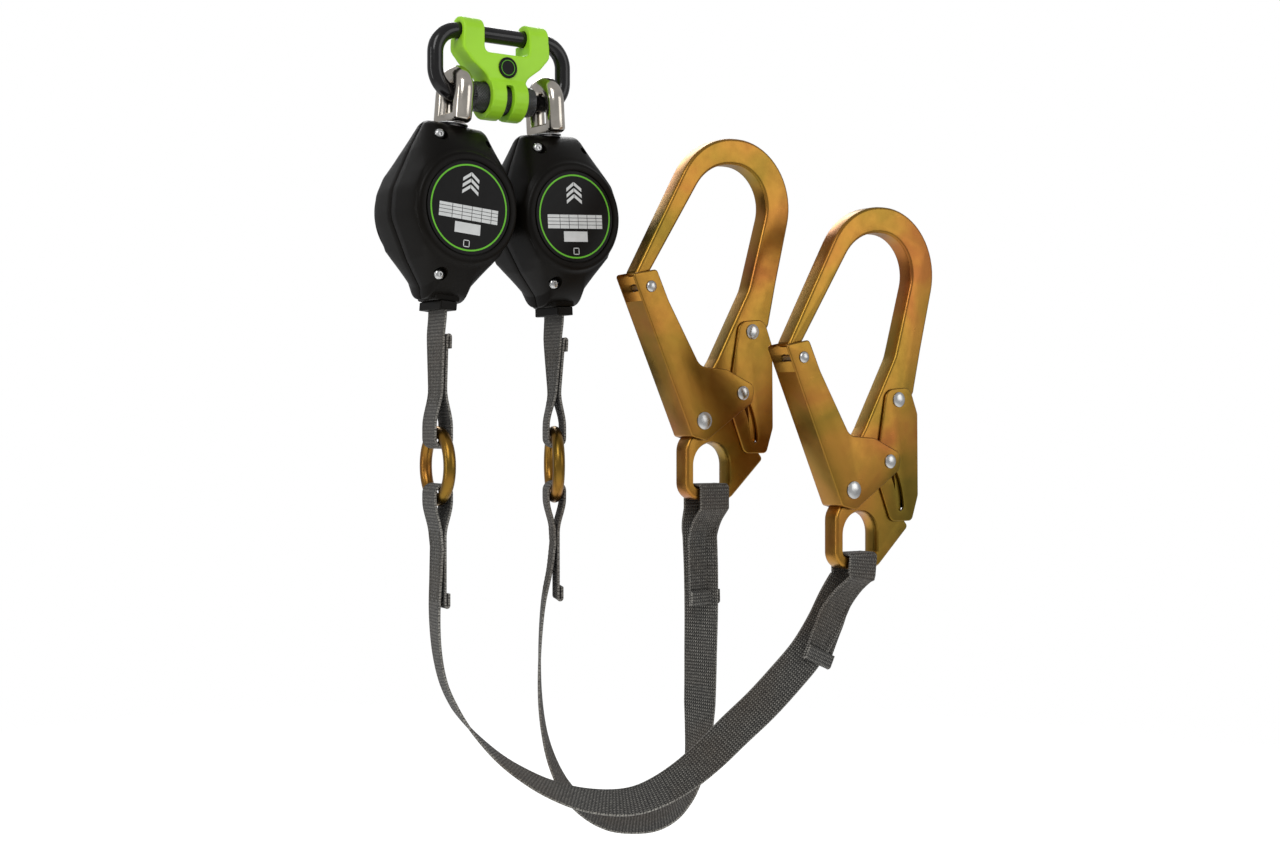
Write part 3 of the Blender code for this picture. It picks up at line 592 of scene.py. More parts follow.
def smooth_route(points, pieces):
    """A Catmull-Rom curve through the points, with this many pieces between two of them."""
    padded = [Vector(p) for p in points]
    padded = [2 * padded[0] - padded[1]] + padded + [2 * padded[-1] - padded[-2]]
    route = []
    for a, b, c, d in zip(padded, padded[1:], padded[2:], padded[3:]):
        for k in range(pieces):
            t = k / pieces
            route.append(0.5 * (2 * b + (c - a) * t + (2 * a - 5 * b + 4 * c - d) * t * t
                                + (3 * b - a - 3 * c + d) * t ** 3))
    route.append(padded[-2])
    return route


def between(stops, share):
    """The value at a share of the way, from (share, value) stops."""
    for (a, low), (b, high) in zip(stops, stops[1:]):
        if share <= b:
            return low + (high - low) * (share - a) / (b - a)
    return stops[-1][1]


def eased(t):
    """0 below 0, 1 above 1, and a smooth step between."""
    t = min(1.0, max(0.0, t))
    return t * t * (3 - 2 * t)


# ---------------------------------------------------------------- webbing

def web_section():
    """The webbing's section: a flat band with fuller selvedges, as (across, thick)."""
    half, thick = WEB_WIDTH / 2, WEB_THICK / 2
    edge = [(half - 1.9, thick * 0.86), (half - 1.0, thick), (half - 0.3, thick * 0.7),
            (half, 0.0)]
    middle = [(-half * 0.5, thick * 0.9), (0.0, thick * 0.92), (half * 0.5, thick * 0.9)]
    top = [(-x, z) for x, z in reversed(edge)] + middle + edge
    return top + [(x, -z) for x, z in reversed(top[1:-1])]


def heading(path, i):
    """The direction of a path at one of its points."""
    return (Vector(path[min(i + 1, len(path) - 1)]) - Vector(path[max(i - 1, 0)])).normalized()


def ribbon(name, path, widths, material):
    """Webbing along a path, with UVs in metres: across, then along."""
    section = web_section()
    rings, lengths = [], [0.0]
    for i, point in enumerate(path):
        along = heading(path, i)
        across = (widths[i] - along * widths[i].dot(along)).normalized()
        normal = along.cross(across)
        rings.append([point + across * u + normal * v for u, v in section])
        if i:
            lengths.append(lengths[-1] + (point - path[i - 1]).length)
    thing = place(name, loft(rings), material, sharp=60.0, slot="web")
    layer = thing.data.uv_layers.new(name="web")
    size = len(section)
    for polygon in thing.data.polygons:
        for corner in polygon.loop_indices:
            vertex = thing.data.loops[corner].vertex_index
            row, column = divmod(vertex, size)
            layer.data[corner].uv = (section[column][0] * MM, lengths[row] * MM)
    return thing


def fine(path, widths, step=2.5):
    """Add points to a path of webbing, so that none are further apart than step."""
    new_path, new_widths = [], []
    for a, b, wa, wb in zip(path, path[1:], widths, widths[1:]):
        pieces = max(1, math.ceil((b - a).length / step))
        for k in range(pieces):
            new_path.append(a.lerp(b, k / pieces))
            new_widths.append(wa.lerp(wb, k / pieces))
    return new_path + [path[-1]], new_widths + [widths[-1]]


def stitches(name, path, widths, outward, first, last, look, body):
    """Rows of thread on the outward face of webbing, between two distances along its path."""
    shapes, spots = [], []
    travelled = 0.0
    for a, b, width in zip(path, path[1:], widths):
        along = (b - a).normalized()
        across = (width - along * width.dot(along)).normalized()
        spots.append((travelled, a, along, across))
        travelled += (b - a).length
    pitch = STITCH_LENGTH + STITCH_GAP
    for row, offset in enumerate(STITCH_ROWS):
        reach = first + (pitch / 2 if row % 2 else 0)
        while reach < last:
            passed, point, along, across = max((s for s in spots if s[0] <= reach),
                                               key=lambda s: s[0])
            normal = along.cross(across)
            if normal.dot(Vector(outward)) < 0:
                normal = -normal
            middle = point + along * (reach - passed) + across * offset + normal * (WEB_THICK / 2)
            rings = []
            for share, size in ((-0.5, 0.15), (-0.35, 0.8), (0.0, 1.0), (0.35, 0.8), (0.5, 0.15)):
                centre = middle + along * share * STITCH_LENGTH
                rings.append([centre + STITCH_R * size * (across * math.cos(t) + normal * math.sin(t))
                              for t in spokes(6)])
            shapes.append(loft(rings))
            reach += pitch
    return place(name, joined(*shapes), look["thread"], body, sharp=60.0, slot="web")


def build_strap(name, look, lean, side):
    """Webbing out of the unit's nozzle, round the ring's top and back up, sewn to itself."""
    tilt = math.radians(lean)
    bar_top = RING_Z + RING_R - LOOP_INSET
    lower = Vector((side * EYE_X, 0, -BAR_SPACING))
    down = Vector((side * math.sin(tilt), 0, -math.cos(tilt)))
    path = [lower + down * d for d in STRAP_EXIT]
    start = path[-1]
    foot = RING_X[name]

    def lane(x, z):
        """A point at x from the line that leads from the nozzle to the ring."""
        return Vector((foot + (start.x - foot) * (1 - eased((start.z - z) / 25)) + x, 0, z))

    def gap(z):
        """Half the distance between the layers, which spread at the ring."""
        return (STRAP_LAYER * eased((start.z - z) / 18)
                + (LOOP_HALF - STRAP_LAYER) * eased((STRAP_SPREAD_Z - z) / 26))
    path += [lane(-gap(z), z) for z in STRAP_DOWN] + [lane(-LOOP_HALF, bar_top)]
    path += [Vector((foot + x, 0, z)) for x, z in arc((0, bar_top), LOOP_HALF, 180, 360, 14)[1:]]
    path += [lane(gap(z), z) for z in STRAP_UP]
    path += [lane(x, z) for x, z in arc((STRAP_LAYER + FOLD_R, STRAP_FOLD_Z), FOLD_R, 180, 0, 8)]
    path += [lane(STRAP_LAYER + 2 * FOLD_R, STRAP_FOLD_Z - FOLD_LENGTH)]
    turned_path, widths = [], []
    pivot = Vector((foot, 0, 0))
    for p in path:
        angle = math.radians(RING_TURN[name]) * eased((start.z - p.z) / (start.z - bar_top - 10))
        turn = Matrix.Rotation(angle, 3, "Z")
        turned_path.append(turn @ (p - pivot) + pivot)
        widths.append(turn @ Vector((0, 1, 0)))
    path, widths = fine(turned_path, widths)
    strap = ribbon(name + "_strap_web", path, widths, look["web"])
    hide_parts(name + "_strap")
    length = run_of(path)
    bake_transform(strap)
    # The front's rows start level with the fold of the tail behind them
    first = sum((b - a).length for a, b in zip(path, path[1:])
                if a.z > STRAP_FOLD_Z - 1 and b.z < a.z)
    for face, outward, start, end in (("back", (1, 0, 0), length - STRAP_SEWN, length - 12),
                                      ("front", (-1, 0, 0), first, first + 40)):
        thread = stitches(f"{name}_strap_thread_{face}", path, widths, outward, start, end, look,
                          None)
        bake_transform(thread)


def leg_lines(name):
    """The leg's loop at the ring, its free run and its loop at the hook, with widths for each."""
    target = "right" if name == "left" else "left"
    turn = Matrix.Rotation(math.radians(RING_TURN[name]), 3, "Z")
    route = smooth_route(LEG_ROUTES[name], 6)
    lengths = [0.0]
    for a, b in zip(route, route[1:]):
        lengths.append(lengths[-1] + (b - a).length)
    level = turn @ Vector((0, 1, 0))
    across = level.copy()
    widths = []
    previous = heading(route, 0)
    for i in range(len(route)):
        along = heading(route, i)
        across = previous.rotation_difference(along) @ across
        previous = along
        angle = math.radians(between(LEG_TURNS[name], lengths[i] / lengths[-1]))
        widths.append(Matrix.Rotation(angle, 3, along) @ across)
    foot = Vector((RING_X[name], 0, 0))
    bar_z = RING_Z - RING_R + LOOP_INSET
    low, high = LEG_SPREAD[0], LEG_SPREAD[-1]
    spread = [(LEG_LAYER + (LOOP_HALF - LEG_LAYER) * eased((z - low) / (high - low)), z)
              for z in LEG_SPREAD]
    fold_z = LEG_TAIL_Z + FOLD_R
    ring_loop = [(LEG_LAYER + 2 * FOLD_R, fold_z + FOLD_LENGTH)]
    ring_loop += arc((LEG_LAYER + FOLD_R, fold_z), FOLD_R, 0, -180, 8)
    ring_loop += [(LEG_LAYER, LEG_SEWN_Z)] + spread + [(LOOP_HALF, bar_z)]
    ring_loop += arc((0, bar_z), LOOP_HALF, 0, 180, 14)[1:]
    # The free run takes over where the layers have nearly met
    fall = [(-LOOP_HALF, bar_z)] + [(-x, z) for x, z in reversed(spread[1:])]

    def at_ring(x, z):
        return foot + turn @ Vector((x, 0, z))
    hook = Vector(HOOKS[target])
    layer = HOOK_HALF_DEPTH + WEB_THICK / 2 + 1.5
    top = -EYE_FLOOR + WEB_THICK / 2 + 0.3
    bend = 2.5
    end_across = Vector((1, 0, 0))
    if widths[-1].dot(end_across) < 0:
        end_across = -end_across
    free = [at_ring(x, z) for x, z in fall] + route[1:]
    free += [hook + Vector((0, layer, z)) for z in (-30, top - bend)]
    free_widths = [level] * len(fall) + widths[1:] + [end_across] * 2
    over = arc((layer - bend, top - bend), bend, 0, 90, 5)
    over += [(-y, z) for y, z in reversed(over)]
    hook_loop = [hook + Vector((0, y, z)) for y, z in over]
    hook_loop += [hook + p for p in smooth_route(HOOK_TAILS[target], 5)]
    last = hook_loop[-1]
    ahead = (last - hook_loop[-2]).normalized()
    out = ahead.cross(end_across).normalized()
    if out.y > 0:
        out = -out
    hook_widths = [end_across] * len(hook_loop)
    hook_loop += [last + out * x + ahead * z for x, z in arc((FOLD_R, 0), FOLD_R, 180, 0, 8)[1:]]
    hook_loop.append(last + out * 2 * FOLD_R - ahead * FOLD_LENGTH)
    hook_widths += [out.cross(ahead)] * (len(hook_loop) - len(hook_widths))
    return ([at_ring(x, z) for x, z in ring_loop], [level] * len(ring_loop),
            free, free_widths, hook_loop, hook_widths)


def build_leg(name, look):
    ring_loop, ring_widths, free, free_widths, hook_loop, hook_widths = leg_lines(name)
    eye = name + "_eye"
    ring_loop, ring_widths = fine(ring_loop, ring_widths)
    free, free_widths = fine(free, free_widths, 4.0)
    hook_loop, hook_widths = fine(hook_loop, hook_widths)
    lower = ribbon(name + "_leg_ring_loop", ring_loop, ring_widths, look["web"])
    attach(lower, eye)
    upper = ribbon(name + "_leg_hook_loop", hook_loop, hook_widths, look["web"])
    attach(upper, "connector")
    run = run_of(hook_loop)
    rib_shading_and_edge_dots = [
        stitches(name + "_leg_ring_thread", ring_loop, ring_widths, (1, 0, 0), 14, 58, look, eye),
        stitches(name + "_leg_run_thread", free, free_widths, (-1, 0, 0), 27, 74, look, eye),
        stitches(name + "_leg_hook_thread", hook_loop, hook_widths, (0, -1, 0), run - 74,
                 run - 13, look, "connector")]
    leg = ribbon(name + "_leg_web", free, free_widths, look["web"])
    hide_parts(name + "_leg")
    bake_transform(leg)


# ---------------------------------------------------------------- connector

def build_connector(look):
    low_z = -BAR_SPACING
    straight = LINK_HALF_WIDTH - BAR_R - LINK_CORNER_R
    up, down = -LINK_CORNER_R, low_z + LINK_CORNER_R
    path = [(GATE_HALF_LENGTH, low_z)]
    for x, z, start in ((straight, down, -90), (straight, up, 0), (-straight, up, 90),
                        (-straight, down, 180)):
        path += arc((x, z), LINK_CORNER_R, start, start + 90, 18)
    path += [(-GATE_HALF_LENGTH, low_z)]
    body = place("connector_link", tube([(x, 0, z) for x, z in path], (0, 1, 0), BAR_R, 32),
                 look["black_steel"], "connector", slot="black_steel")
    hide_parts("carabiner_body")
    # Two families of ridges cross on the sleeve, drawn with four points to a ridge
    end = SLEEVE_HALF_LENGTH
    start = -end + SLEEVE_PLAIN
    sides = knurl_count() * 4
    rows = round(-2 * start / KNURL_PITCH) * 4

    def tooth(quarters):
        return 1 - abs(2 * (quarters / 4 % 1) - 1)

    def ring(x, radii):
        return [(x, radius * math.cos(t), low_z + radius * math.sin(t))
                for radius, t in zip(radii, spokes(sides))]
    rings = [ring(x, [radius] * sides) for x, radius in
             ((-end, SLEEVE_BORE_R), (-end, 9.2), (-end + 0.4, 9.9), (-end + 1.0, 10.25),
              (start, 10.25))]
    far = [[(-x, y, z) for x, y, z in one] for one in reversed(rings)]
    for row in range(1, rows):
        heights = [min(tooth(k + row), tooth(k - row)) for k in range(sides)]
        rings.append(ring(start - 2 * start * row / rows,
                          [SLEEVE_R - 0.4 + KNURL_DEPTH * height for height in heights]))
    sleeve = place("sleeve_barrel", loft(rings + far, closed=True), look["knurl"], "sleeve",
                   slot="black_steel", sharp=20.0)
    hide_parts("lock_sleeve")


def build_bridge(look):
    # Voxels and smoothing round the moulding's edges, also at the thin lips of its clips
    bridge = frame["nodes"]["spacer_bridge"]
    voxels = bridge.modifiers.new("voxels", "REMESH")
    voxels.mode = "VOXEL"
    voxels.voxel_size = BRIDGE_VOXEL * MM
    voxels.use_smooth_shade = True
    rounding = bridge.modifiers.new("rounding", "SMOOTH")
    rounding.factor = 0.5
    rounding.iterations = 10
    paint(bridge, look["green"])
    low, high = (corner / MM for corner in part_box("bridge_badge"))
    centre = (low + high) / 2
    radius = (high.x - low.x) / 2
    front = low.y
    rim = [(high.y, radius), (front + 0.2, radius), (front, radius - 0.3), (front, radius - 0.8),
           (front + 0.15, radius - 1.0), (front + 0.15, 0.4)]
    face = place("bridge_badge_face", turned(rim, "Y", (centre.x, 0, centre.z), 48),
                 look["print_black"], "connector", slot="label_print")
    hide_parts("bridge_badge")
    # A generic mark: a plain ring
    outer, inner = radius - 1.9, radius - 2.3
    mark = turned([(front + 0.02, outer), (front - 0.03, outer), (front - 0.03, inner),
                   (front + 0.02, inner)], "Y", (centre.x, 0, centre.z), 48, closed=True)
    place("bridge_badge_mark", mark, look["print_green"], "connector", slot="label_print")


# ---------------------------------------------------------------- self-retracting unit

def build_eye(name, look, matrix):
    body = name + "_eye"
    low, high = EYE_BASE_Z
    # Each leg of the arch ends in a rounded foot, and a web of steel joins the two
    toe = [(low, EYE_BAR_R - 2.4), (low + 0.5, EYE_BAR_R - 1.3), (low + 1.3, EYE_BAR_R - 0.5),
           (low + 2.6, EYE_BAR_R)]
    bend = list(reversed(arc((0, EYE_ARCH_Z), EYE_ARCH_R, 0, 180, 32)))
    path = [(0, -EYE_ARCH_R, z) for z, _ in toe] + [(0, y, z) for y, z in bend]
    path += [(0, EYE_ARCH_R, z) for z, _ in reversed(toe)]
    radii = [r for _, r in toe] + [EYE_BAR_R] * len(bend) + [r for _, r in reversed(toe)]
    arch = tube(path, (1, 0, 0), radii, 32)
    base = rounded([(-14, low, 1.2), (14, low, 1.2), (14, high, 1.2), (-14, high, 1.2)], 12)
    rims = ((-6.3, 1.1), (-5.8, 0.5), (-5.0, 0.0), (5.0, 0.0), (5.8, 0.5), (6.3, 1.1))
    pad = loft([[(x, y, z) for y, z in inset(base, depth)] for x, depth in rims])
    eye = place(name + "_eye_forging", arch, look["stainless"], body, matrix, slot="stainless")
    carve(eye, [pad], matrix, 35.0, "UNION")
    eye.data.materials.clear()
    eye.data.materials.append(look["stainless"])
    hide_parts(name + "_swivel_eye")


def shell_outline():
    """The housing from the front, with points close enough to follow the round boss."""
    right = [(22, 60.3, 5), (31, 39, 12), (SHELL_HALF_WIDTH, 9, 22), (SHELL_HALF_WIDTH, -9, 22),
             (27, -37, 14), (15.5, -54, 3), (14, -61.8, 1)]
    corners = rounded(right + [(-x, z, r) for x, z, r in reversed(right)], 6)
    outline = []
    for here, ahead in zip(corners, corners[1:] + corners[:1]):
        parts = max(1, math.ceil(math.degrees(Vector(here).angle(Vector(ahead))) / SHELL_STEP))
        outline += [tuple(Vector(here).lerp(Vector(ahead), k / parts)) for k in range(parts)]
    return outline


def build_shell(name, look, matrix, facing):
    """Half of the housing; facing is -1 for the front and +1 for the rear."""
    outline = shell_outline()
    directions = [(Vector(p).length, Vector(p).normalized()) for p in outline]
    rim = [(-2.8, 0.3), (-0.9, 0.3), (-0.35, 0.5), (0.0, 1.1)]
    boss = [(BOSS_R - 0.7, 30.3), (BOSS_R - 1.5, 31.6), (BOSS_R - 2.5, 32.6),
            (BOSS_R - 3.8, FACE_Y - 0.05), (LABEL_R + 1.6, FACE_Y), (LABEL_R + 0.9, FACE_Y - 0.2),
            (LABEL_R + 0.7, FACE_Y - 1.1), (6.0, FACE_Y - 1.1)]
    rows = []
    for reach, direction in directions:
        fall = WALL_FALL["above" if direction.y > 0 else "below"]
        wall = WALL_HEIGHT - (reach - WALL_FROM) * fall
        foot, corner = Vector((reach, 1.1)), Vector((reach - SHELL_DRAFT, wall + 2.2))
        brow = Vector((min(BOSS_R + 1.0, reach - 2.6), BROW_Y))
        start, end = foot.lerp(corner, SHOULDER_START), corner.lerp(brow, SHOULDER_END)
        bend = [start.lerp(corner, t).lerp(corner.lerp(end, t), t)
                for t in (k / SHOULDER_STEPS for k in range(SHOULDER_STEPS + 1))]
        rows.append([(reach + r, y) for r, y in rim] + [tuple(p) for p in (*bend, brow)] + boss)
    levels = [[(direction.x * row[k][0], facing * row[k][1], LABEL_Z + direction.y * row[k][0])
               for (_, direction), row in zip(directions, rows)] for k in range(len(rows[0]))]
    side = "front" if facing < 0 else "rear"
    shell = place(f"{name}_shell_{side}", loft(levels), look["plastic"], name + "_unit", matrix,
                  sharp=40.0, slot="black_plastic")
    cuts = []
    if facing < 0:
        for (x, z, seat), well in zip((*SCREWS, DIMPLE), (SCREW_WELL_R, SCREW_WELL_R, DIMPLE_R)):
            cuts.append(turned([(-45, well + 0.5), (-seat, well)], "Y", (x, 0, LABEL_Z + z), 32))
    cuts.append(turned([(-30, NECK_BORE_R), (-20, NECK_BORE_R)], "Z", steps=32))
    carve(shell, cuts, matrix, 40.0)
    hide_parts(f"{name}_housing_{side}")


def build_screws(name, look, matrix):
    for end, (x, z, seat) in zip(("top", "bottom"), SCREWS):
        under = -seat - 0.3
        dome = [(under + 4, 1.8), (under, 1.8), (under, 3.6), (under - 0.6, 3.55), (under - 1.3, 3.2),
                (under - 1.8, 2.5), (under - 2.05, 1.75), (under - 2.1, 1.6)]
        head = turned(dome, "Y", (x, 0, LABEL_Z + z), 36)
        screw = place(f"{name}_button_screw_{end}", head, look["zinc"], name + "_unit", matrix,
                      slot="zinc_steel")
        socket = turned([(under - 3, 1.35), (under - 0.8, 1.35)], "Y", (x, 0, LABEL_Z + z), 6)
        carve(screw, [socket], matrix, 30.0)
        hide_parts(f"{name}_screw_{end}")


def flat_bar(x0, z0, x1, z1, front, height=0.06):
    """A printed rectangle, this thick on the face at front."""
    return box((x0, front - height, z0), (x1, front + 0.02, z1))


def frame_lines(x0, z0, x1, z1, line, front):
    """The outline of a printed box."""
    return [flat_bar(x0, z0, x1, z0 + line, front), flat_bar(x0, z1 - line, x1, z1, front),
            flat_bar(x0, z0, x0 + line, z1, front), flat_bar(x1 - line, z0, x1, z1, front)]


def build_label(name, look, matrix):
    """A printed disc: green ring, a blank table, a blank panel and plain marks."""
    front = -FACE_Y - 0.1
    body = name + "_unit"
    disc = turned([(-FACE_Y + 0.7, LABEL_R), (front + 0.15, LABEL_R), (front, LABEL_R - 0.2),
                   (front, 0.5)], "Y", (0, 0, LABEL_Z), 96)
    base = place(name + "_label_base", disc, look["print_black"], body, matrix, slot="label_print")
    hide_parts(name + "_label_disc")
    outer, inner = (LABEL_R - depth for depth in RING_PRINT)
    ring = turned([(front + 0.02, outer), (front - 0.05, outer), (front - 0.05, inner),
                   (front + 0.02, inner)], "Y", (0, 0, LABEL_Z), 96, closed=True)
    place(name + "_label_ring", ring, look["print_green"], body, matrix, slot="label_print")
    left, right = -TABLE_HALF[0], TABLE_HALF[0]
    low, high = (LABEL_Z + TABLE_Z + side * TABLE_HALF[1] for side in (-1, 1))
    white = [flat_bar(left, low, right, high, front),
             flat_bar(-9.8, LABEL_Z - 17.6, 9.8, LABEL_Z - 10.4, front)]
    white += frame_lines(-2.4, LABEL_Z - 26.6, 2.4, LABEL_Z - 21.8, 0.55, front)
    # A generic pictogram: three chevrons
    for k in range(3):
        for side in (-1, 1):
            points = [(side * x, LABEL_Z + z - CHEVRON_STEP * k)
                      for x, z in ((0.2, 24.0), (6.2, 19.6), (6.2, 17.2), (0.2, 21.6))]
            white.append(plate(points, front - 0.06, front + 0.02))
    place(name + "_label_marks", joined(*white), look["print_white"], body, matrix, slot="label_print")
    dark = [flat_bar(left, z, right, z + 0.35, front - 0.05, 0.03)
            for z in (low + (high - low) * row / TABLE_ROWS for row in range(1, TABLE_ROWS))]
    dark += [flat_bar(x, low, x + 0.4, high, front - 0.05, 0.03)
             for x in (left + (right - left) * (column + 0.3) / TABLE_COLUMNS
                       for column in range(1, TABLE_COLUMNS))]
    place(name + "_label_lines", joined(*dark), look["print_black"], body, matrix, slot="label_print")


def build_unit(name, look, matrix):
    for facing in (-1, 1):
        build_shell(name, look, matrix, facing)
    build_screws(name, look, matrix)
    build_label(name, look, matrix)
    soften(frame["nodes"][name + "_web_nozzle"], 1.0)
    # A stepped collar between the shells and the nozzle plate
    (a, b), (low, high) = COLLAR_HALF, COLLAR_Z
    collar = rounded([(-a, -b, 3.0), (a, -b, 3.0), (a, b, 3.0), (-a, b, 3.0)], 15)
    levels = [(low, 1.0), (low + 0.4, 0.3), (low + 1.0, 0.0), (high, 0.0)]
    step = loft([[(x, y, z) for x, y in inset(collar, depth)] for z, depth in levels])
    place(name + "_web_collar", step, look["plastic"], name + "_unit", matrix, slot="black_plastic")


def build_ring(name, look):
    centre = Vector((RING_X[name], 0, RING_Z))
    turn = Matrix.Rotation(math.radians(RING_TURN[name]), 3, "Z")
    path = [centre + turn @ Vector((0, y, z)) for y, z in arc((0, 0), RING_R, 0, 360, 72)[:-1]]
    shape = tube(path, turn @ Vector((1, 0, 0)), RING_BAR_R, 24, closed=True)
    ring = place(name + "_ring_bar", shape, look["gold_ring"], name + "_ring_body", slot="gold_steel")
    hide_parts(name + "_ring")


# ---------------------------------------------------------------- snap hooks

def hook_outline():
    outer = [(-67, 127, 2.4), (-9, 229.6, 52), (83, 229.6, 46), (58, 130, 30), (51, 99, 6),
             (42, 86, 8), (39, 12, 4), (46, 4, 3), (16, -24, 10), (-22, -24, 12), (-22, 15, 14),
             (-15, 23, 3), (-17, 32, 8), (-6, 58, 20)]
    inner = [(5, 74, 12), (33, 124, 30), (58, 211, 28), (-2, 211, 36), (-53, 132, 2.4)]
    return rounded(outer + inner, 6)


def swing(point, pivot, degrees):
    """A point of the XZ plane turned round a pivot."""
    angle = math.radians(degrees)
    x, z = point[0] - pivot[0], point[1] - pivot[1]
    return (pivot[0] + x * math.cos(angle) + z * math.sin(angle),
            pivot[1] - x * math.sin(angle) + z * math.cos(angle))


def slot_outline(path, half_width):
    """The outline of a round-ended slot along a path."""
    sides = ([], [])
    for i, point in enumerate(path):
        along = heading(path, i)
        for sign, points in zip((1, -1), sides):
            points.append((point[0] - sign * along.y * half_width,
                           point[1] + sign * along.x * half_width))
    ends = []
    for here, near in ((path[-1], path[-2]), (path[0], path[1])):
        angle = math.degrees(math.atan2(here[1] - near[1], here[0] - near[0]))
        ends.append(arc(here, half_width, angle + 90, angle - 90, 10)[1:-1])
    return sides[0] + ends[0] + list(reversed(sides[1])) + ends[1]


def drill(pivot, radius):
    return turned([(-30, radius), (30, radius)], "Y", (pivot[0], 0, pivot[1]), 32)


def rivet(name, node, look, matrix, body, pivot, shank, head, reach):
    """A domed rivet through both cheeks."""
    dome = [(0.0, 1.0), (0.5, 0.97), (1.1, 0.82), (1.6, 0.58), (1.9, 0.25)]
    profile = [(-reach - rise, head * share) for rise, share in reversed(dome)]
    profile += [(-reach, shank), (reach, shank)]
    profile += [(reach + rise, head * share) for rise, share in dome]
    piece = place(name, turned(profile, "Y", (pivot[0], 0, pivot[1]), 36), look["zinc"], body, matrix,
                  slot="zinc_steel")
    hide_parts(node)


def build_hook(name, look):
    matrix = Matrix.Translation(Vector(HOOKS[name]))
    # The guide pin's way through the hook body and through the lever, a little past its ends
    shares = [k / 16 for k in range(-1, 18)]
    pins = [swing(GUIDE_PIN, GATE_PIVOT, GATE_SWING * t) for t in shares]
    slots = [swing(pin, LEVER_PIVOT, -LEVER_SWING * t) for pin, t in zip(pins, shares)]
    body = place(name + "_hook_forging",
                 plate(hook_outline(), -HOOK_HALF_DEPTH, HOOK_HALF_DEPTH, HOOK_ROLL, 5),
                 look["gold"], "connector", matrix, slot="gold_steel")
    eye_hole = rounded([(-EYE_HALF, -EYE_FLOOR, 3), (EYE_HALF, -EYE_FLOOR, 3),
                        (EYE_HALF, EYE_HALF, EYE_HALF), (-EYE_HALF, EYE_HALF, EYE_HALF)])
    flare = [loft([[(x, y, z) for x, z in inset(eye_hole, d)] for y, d in
                   ((side * 9.0, -2.2), (side * 6.2, -0.8), (side * 5.0, -0.1), (side * 2.0, 0.0))])
             for side in (-1, 1)]
    cuts = [plate(eye_hole, -30, 30), *flare, plate(slot_outline(pins, PIN_HOLE_R), -20, 20),
            drill(GATE_PIVOT, GATE_HOLE_R), drill(LEVER_PIVOT, PIN_HOLE_R)]
    carve(body, cuts, matrix, 35.0)
    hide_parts(name + "_hook_body")

    cheeks = rounded([(-70, 130, 2), (-50, 134, 3), (-40, 113, 4), (-13, 68.5, 10), (10, 67, 14),
                      (35, 56, 6), (33, 44, 6), (-8, 17, 5), (-20, 20, 3)], 8)
    gate = place(name + "_gate_channel", plate(cheeks, -CHEEK_Y[1], CHEEK_Y[1], 1.1, 4),
                 look["gold_sheet"], name + "_gate", matrix, slot="gold_steel")
    inside = [(-68.2, 131), (-60, 160), (80, 160), (80, -20), (-19.5, -20), (-18.2, 21.5)]
    nose_way = [(-90, 112), (-40, 112), (-40, 160), (-90, 160)]
    carve(gate, [plate(inside, -CHEEK_Y[0], CHEEK_Y[0]), plate(nose_way, -CHEEK_Y[0], CHEEK_Y[0]),
                 drill(GATE_PIVOT, GATE_HOLE_R), drill(GUIDE_PIN, PIN_HOLE_R),
                 drill(TIP_RIVET, TIP_HOLE_R)], matrix, 35.0)
    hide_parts(name + "_hook_gate")

    sides = rounded([(23, 101, 8), (45, 103, 8), (52.5, 84, 6), (53, 26, 8), (47, 8, 4), (27, 8, 6),
                     (14, 40, 14), (16, 62, 14)], 8)
    lever = place(name + "_lever_plate", plate(sides, -LEVER_Y[1], LEVER_Y[1], 0.9, 4),
                  look["gold_sheet"], name + "_lever", matrix, slot="gold_steel")
    hollow = [(51.2, 84), (51.6, 26), (45, -10), (-10, -10), (-10, 130), (60, 130), (60, 90)]
    carve(lever, [plate(hollow, -LEVER_Y[0], LEVER_Y[0]),
                  plate(slot_outline(slots, PIN_HOLE_R), -20, 20),
                  drill(LEVER_PIVOT, PIN_HOLE_R)], matrix, 35.0)
    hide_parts(name + "_lock_lever")

    for part, rides_on, pivot, shank, head, reach in (
            ("gate", "connector", GATE_PIVOT, 4.0, 6.2, CHEEK_Y[1]),
            ("guide", name + "_gate", GUIDE_PIN, 3.0, 5.0, CHEEK_Y[1]),
            ("lever", "connector", LEVER_PIVOT, 3.0, 5.4, LEVER_Y[1]),
            ("tip", name + "_gate", TIP_RIVET, 2.5, 4.0, CHEEK_Y[1])):
        rivet(f"{name}_{part}_rivet_dome", f"{name}_{part}_rivet", look, matrix, rides_on, pivot,
              shank, head, reach + RIVET_GAP)


# ---------------------------------------------------------------- stage

def paint(thing, material):
    for slot in thing.material_slots:
        slot.material = material


def build_camera():
    camera = bpy.data.objects.new("camera", bpy.data.cameras.new("camera"))
    bpy.context.collection.objects.link(camera)
    camera.data.lens = 50.0
    camera.data.sensor_width = 36.0
    camera.location = Vector(CAMERA) * MM
    camera.rotation_euler = (math.radians(90), 0, math.radians(-CAMERA_AZIMUTH))
    bpy.context.scene.camera = camera


def area_light(name, location, target, size, power):
    data = bpy.data.lights.new(name, "AREA")
    data.shape = "RECTANGLE"
    data.size, data.size_y = size
    data.energy = power
    light = bpy.data.objects.new(name, data)
    bpy.context.collection.objects.link(light)
    light.location = location
    light.rotation_euler = (Vector(target) - Vector(location)).to_track_quat("-Z", "Y").to_euler()


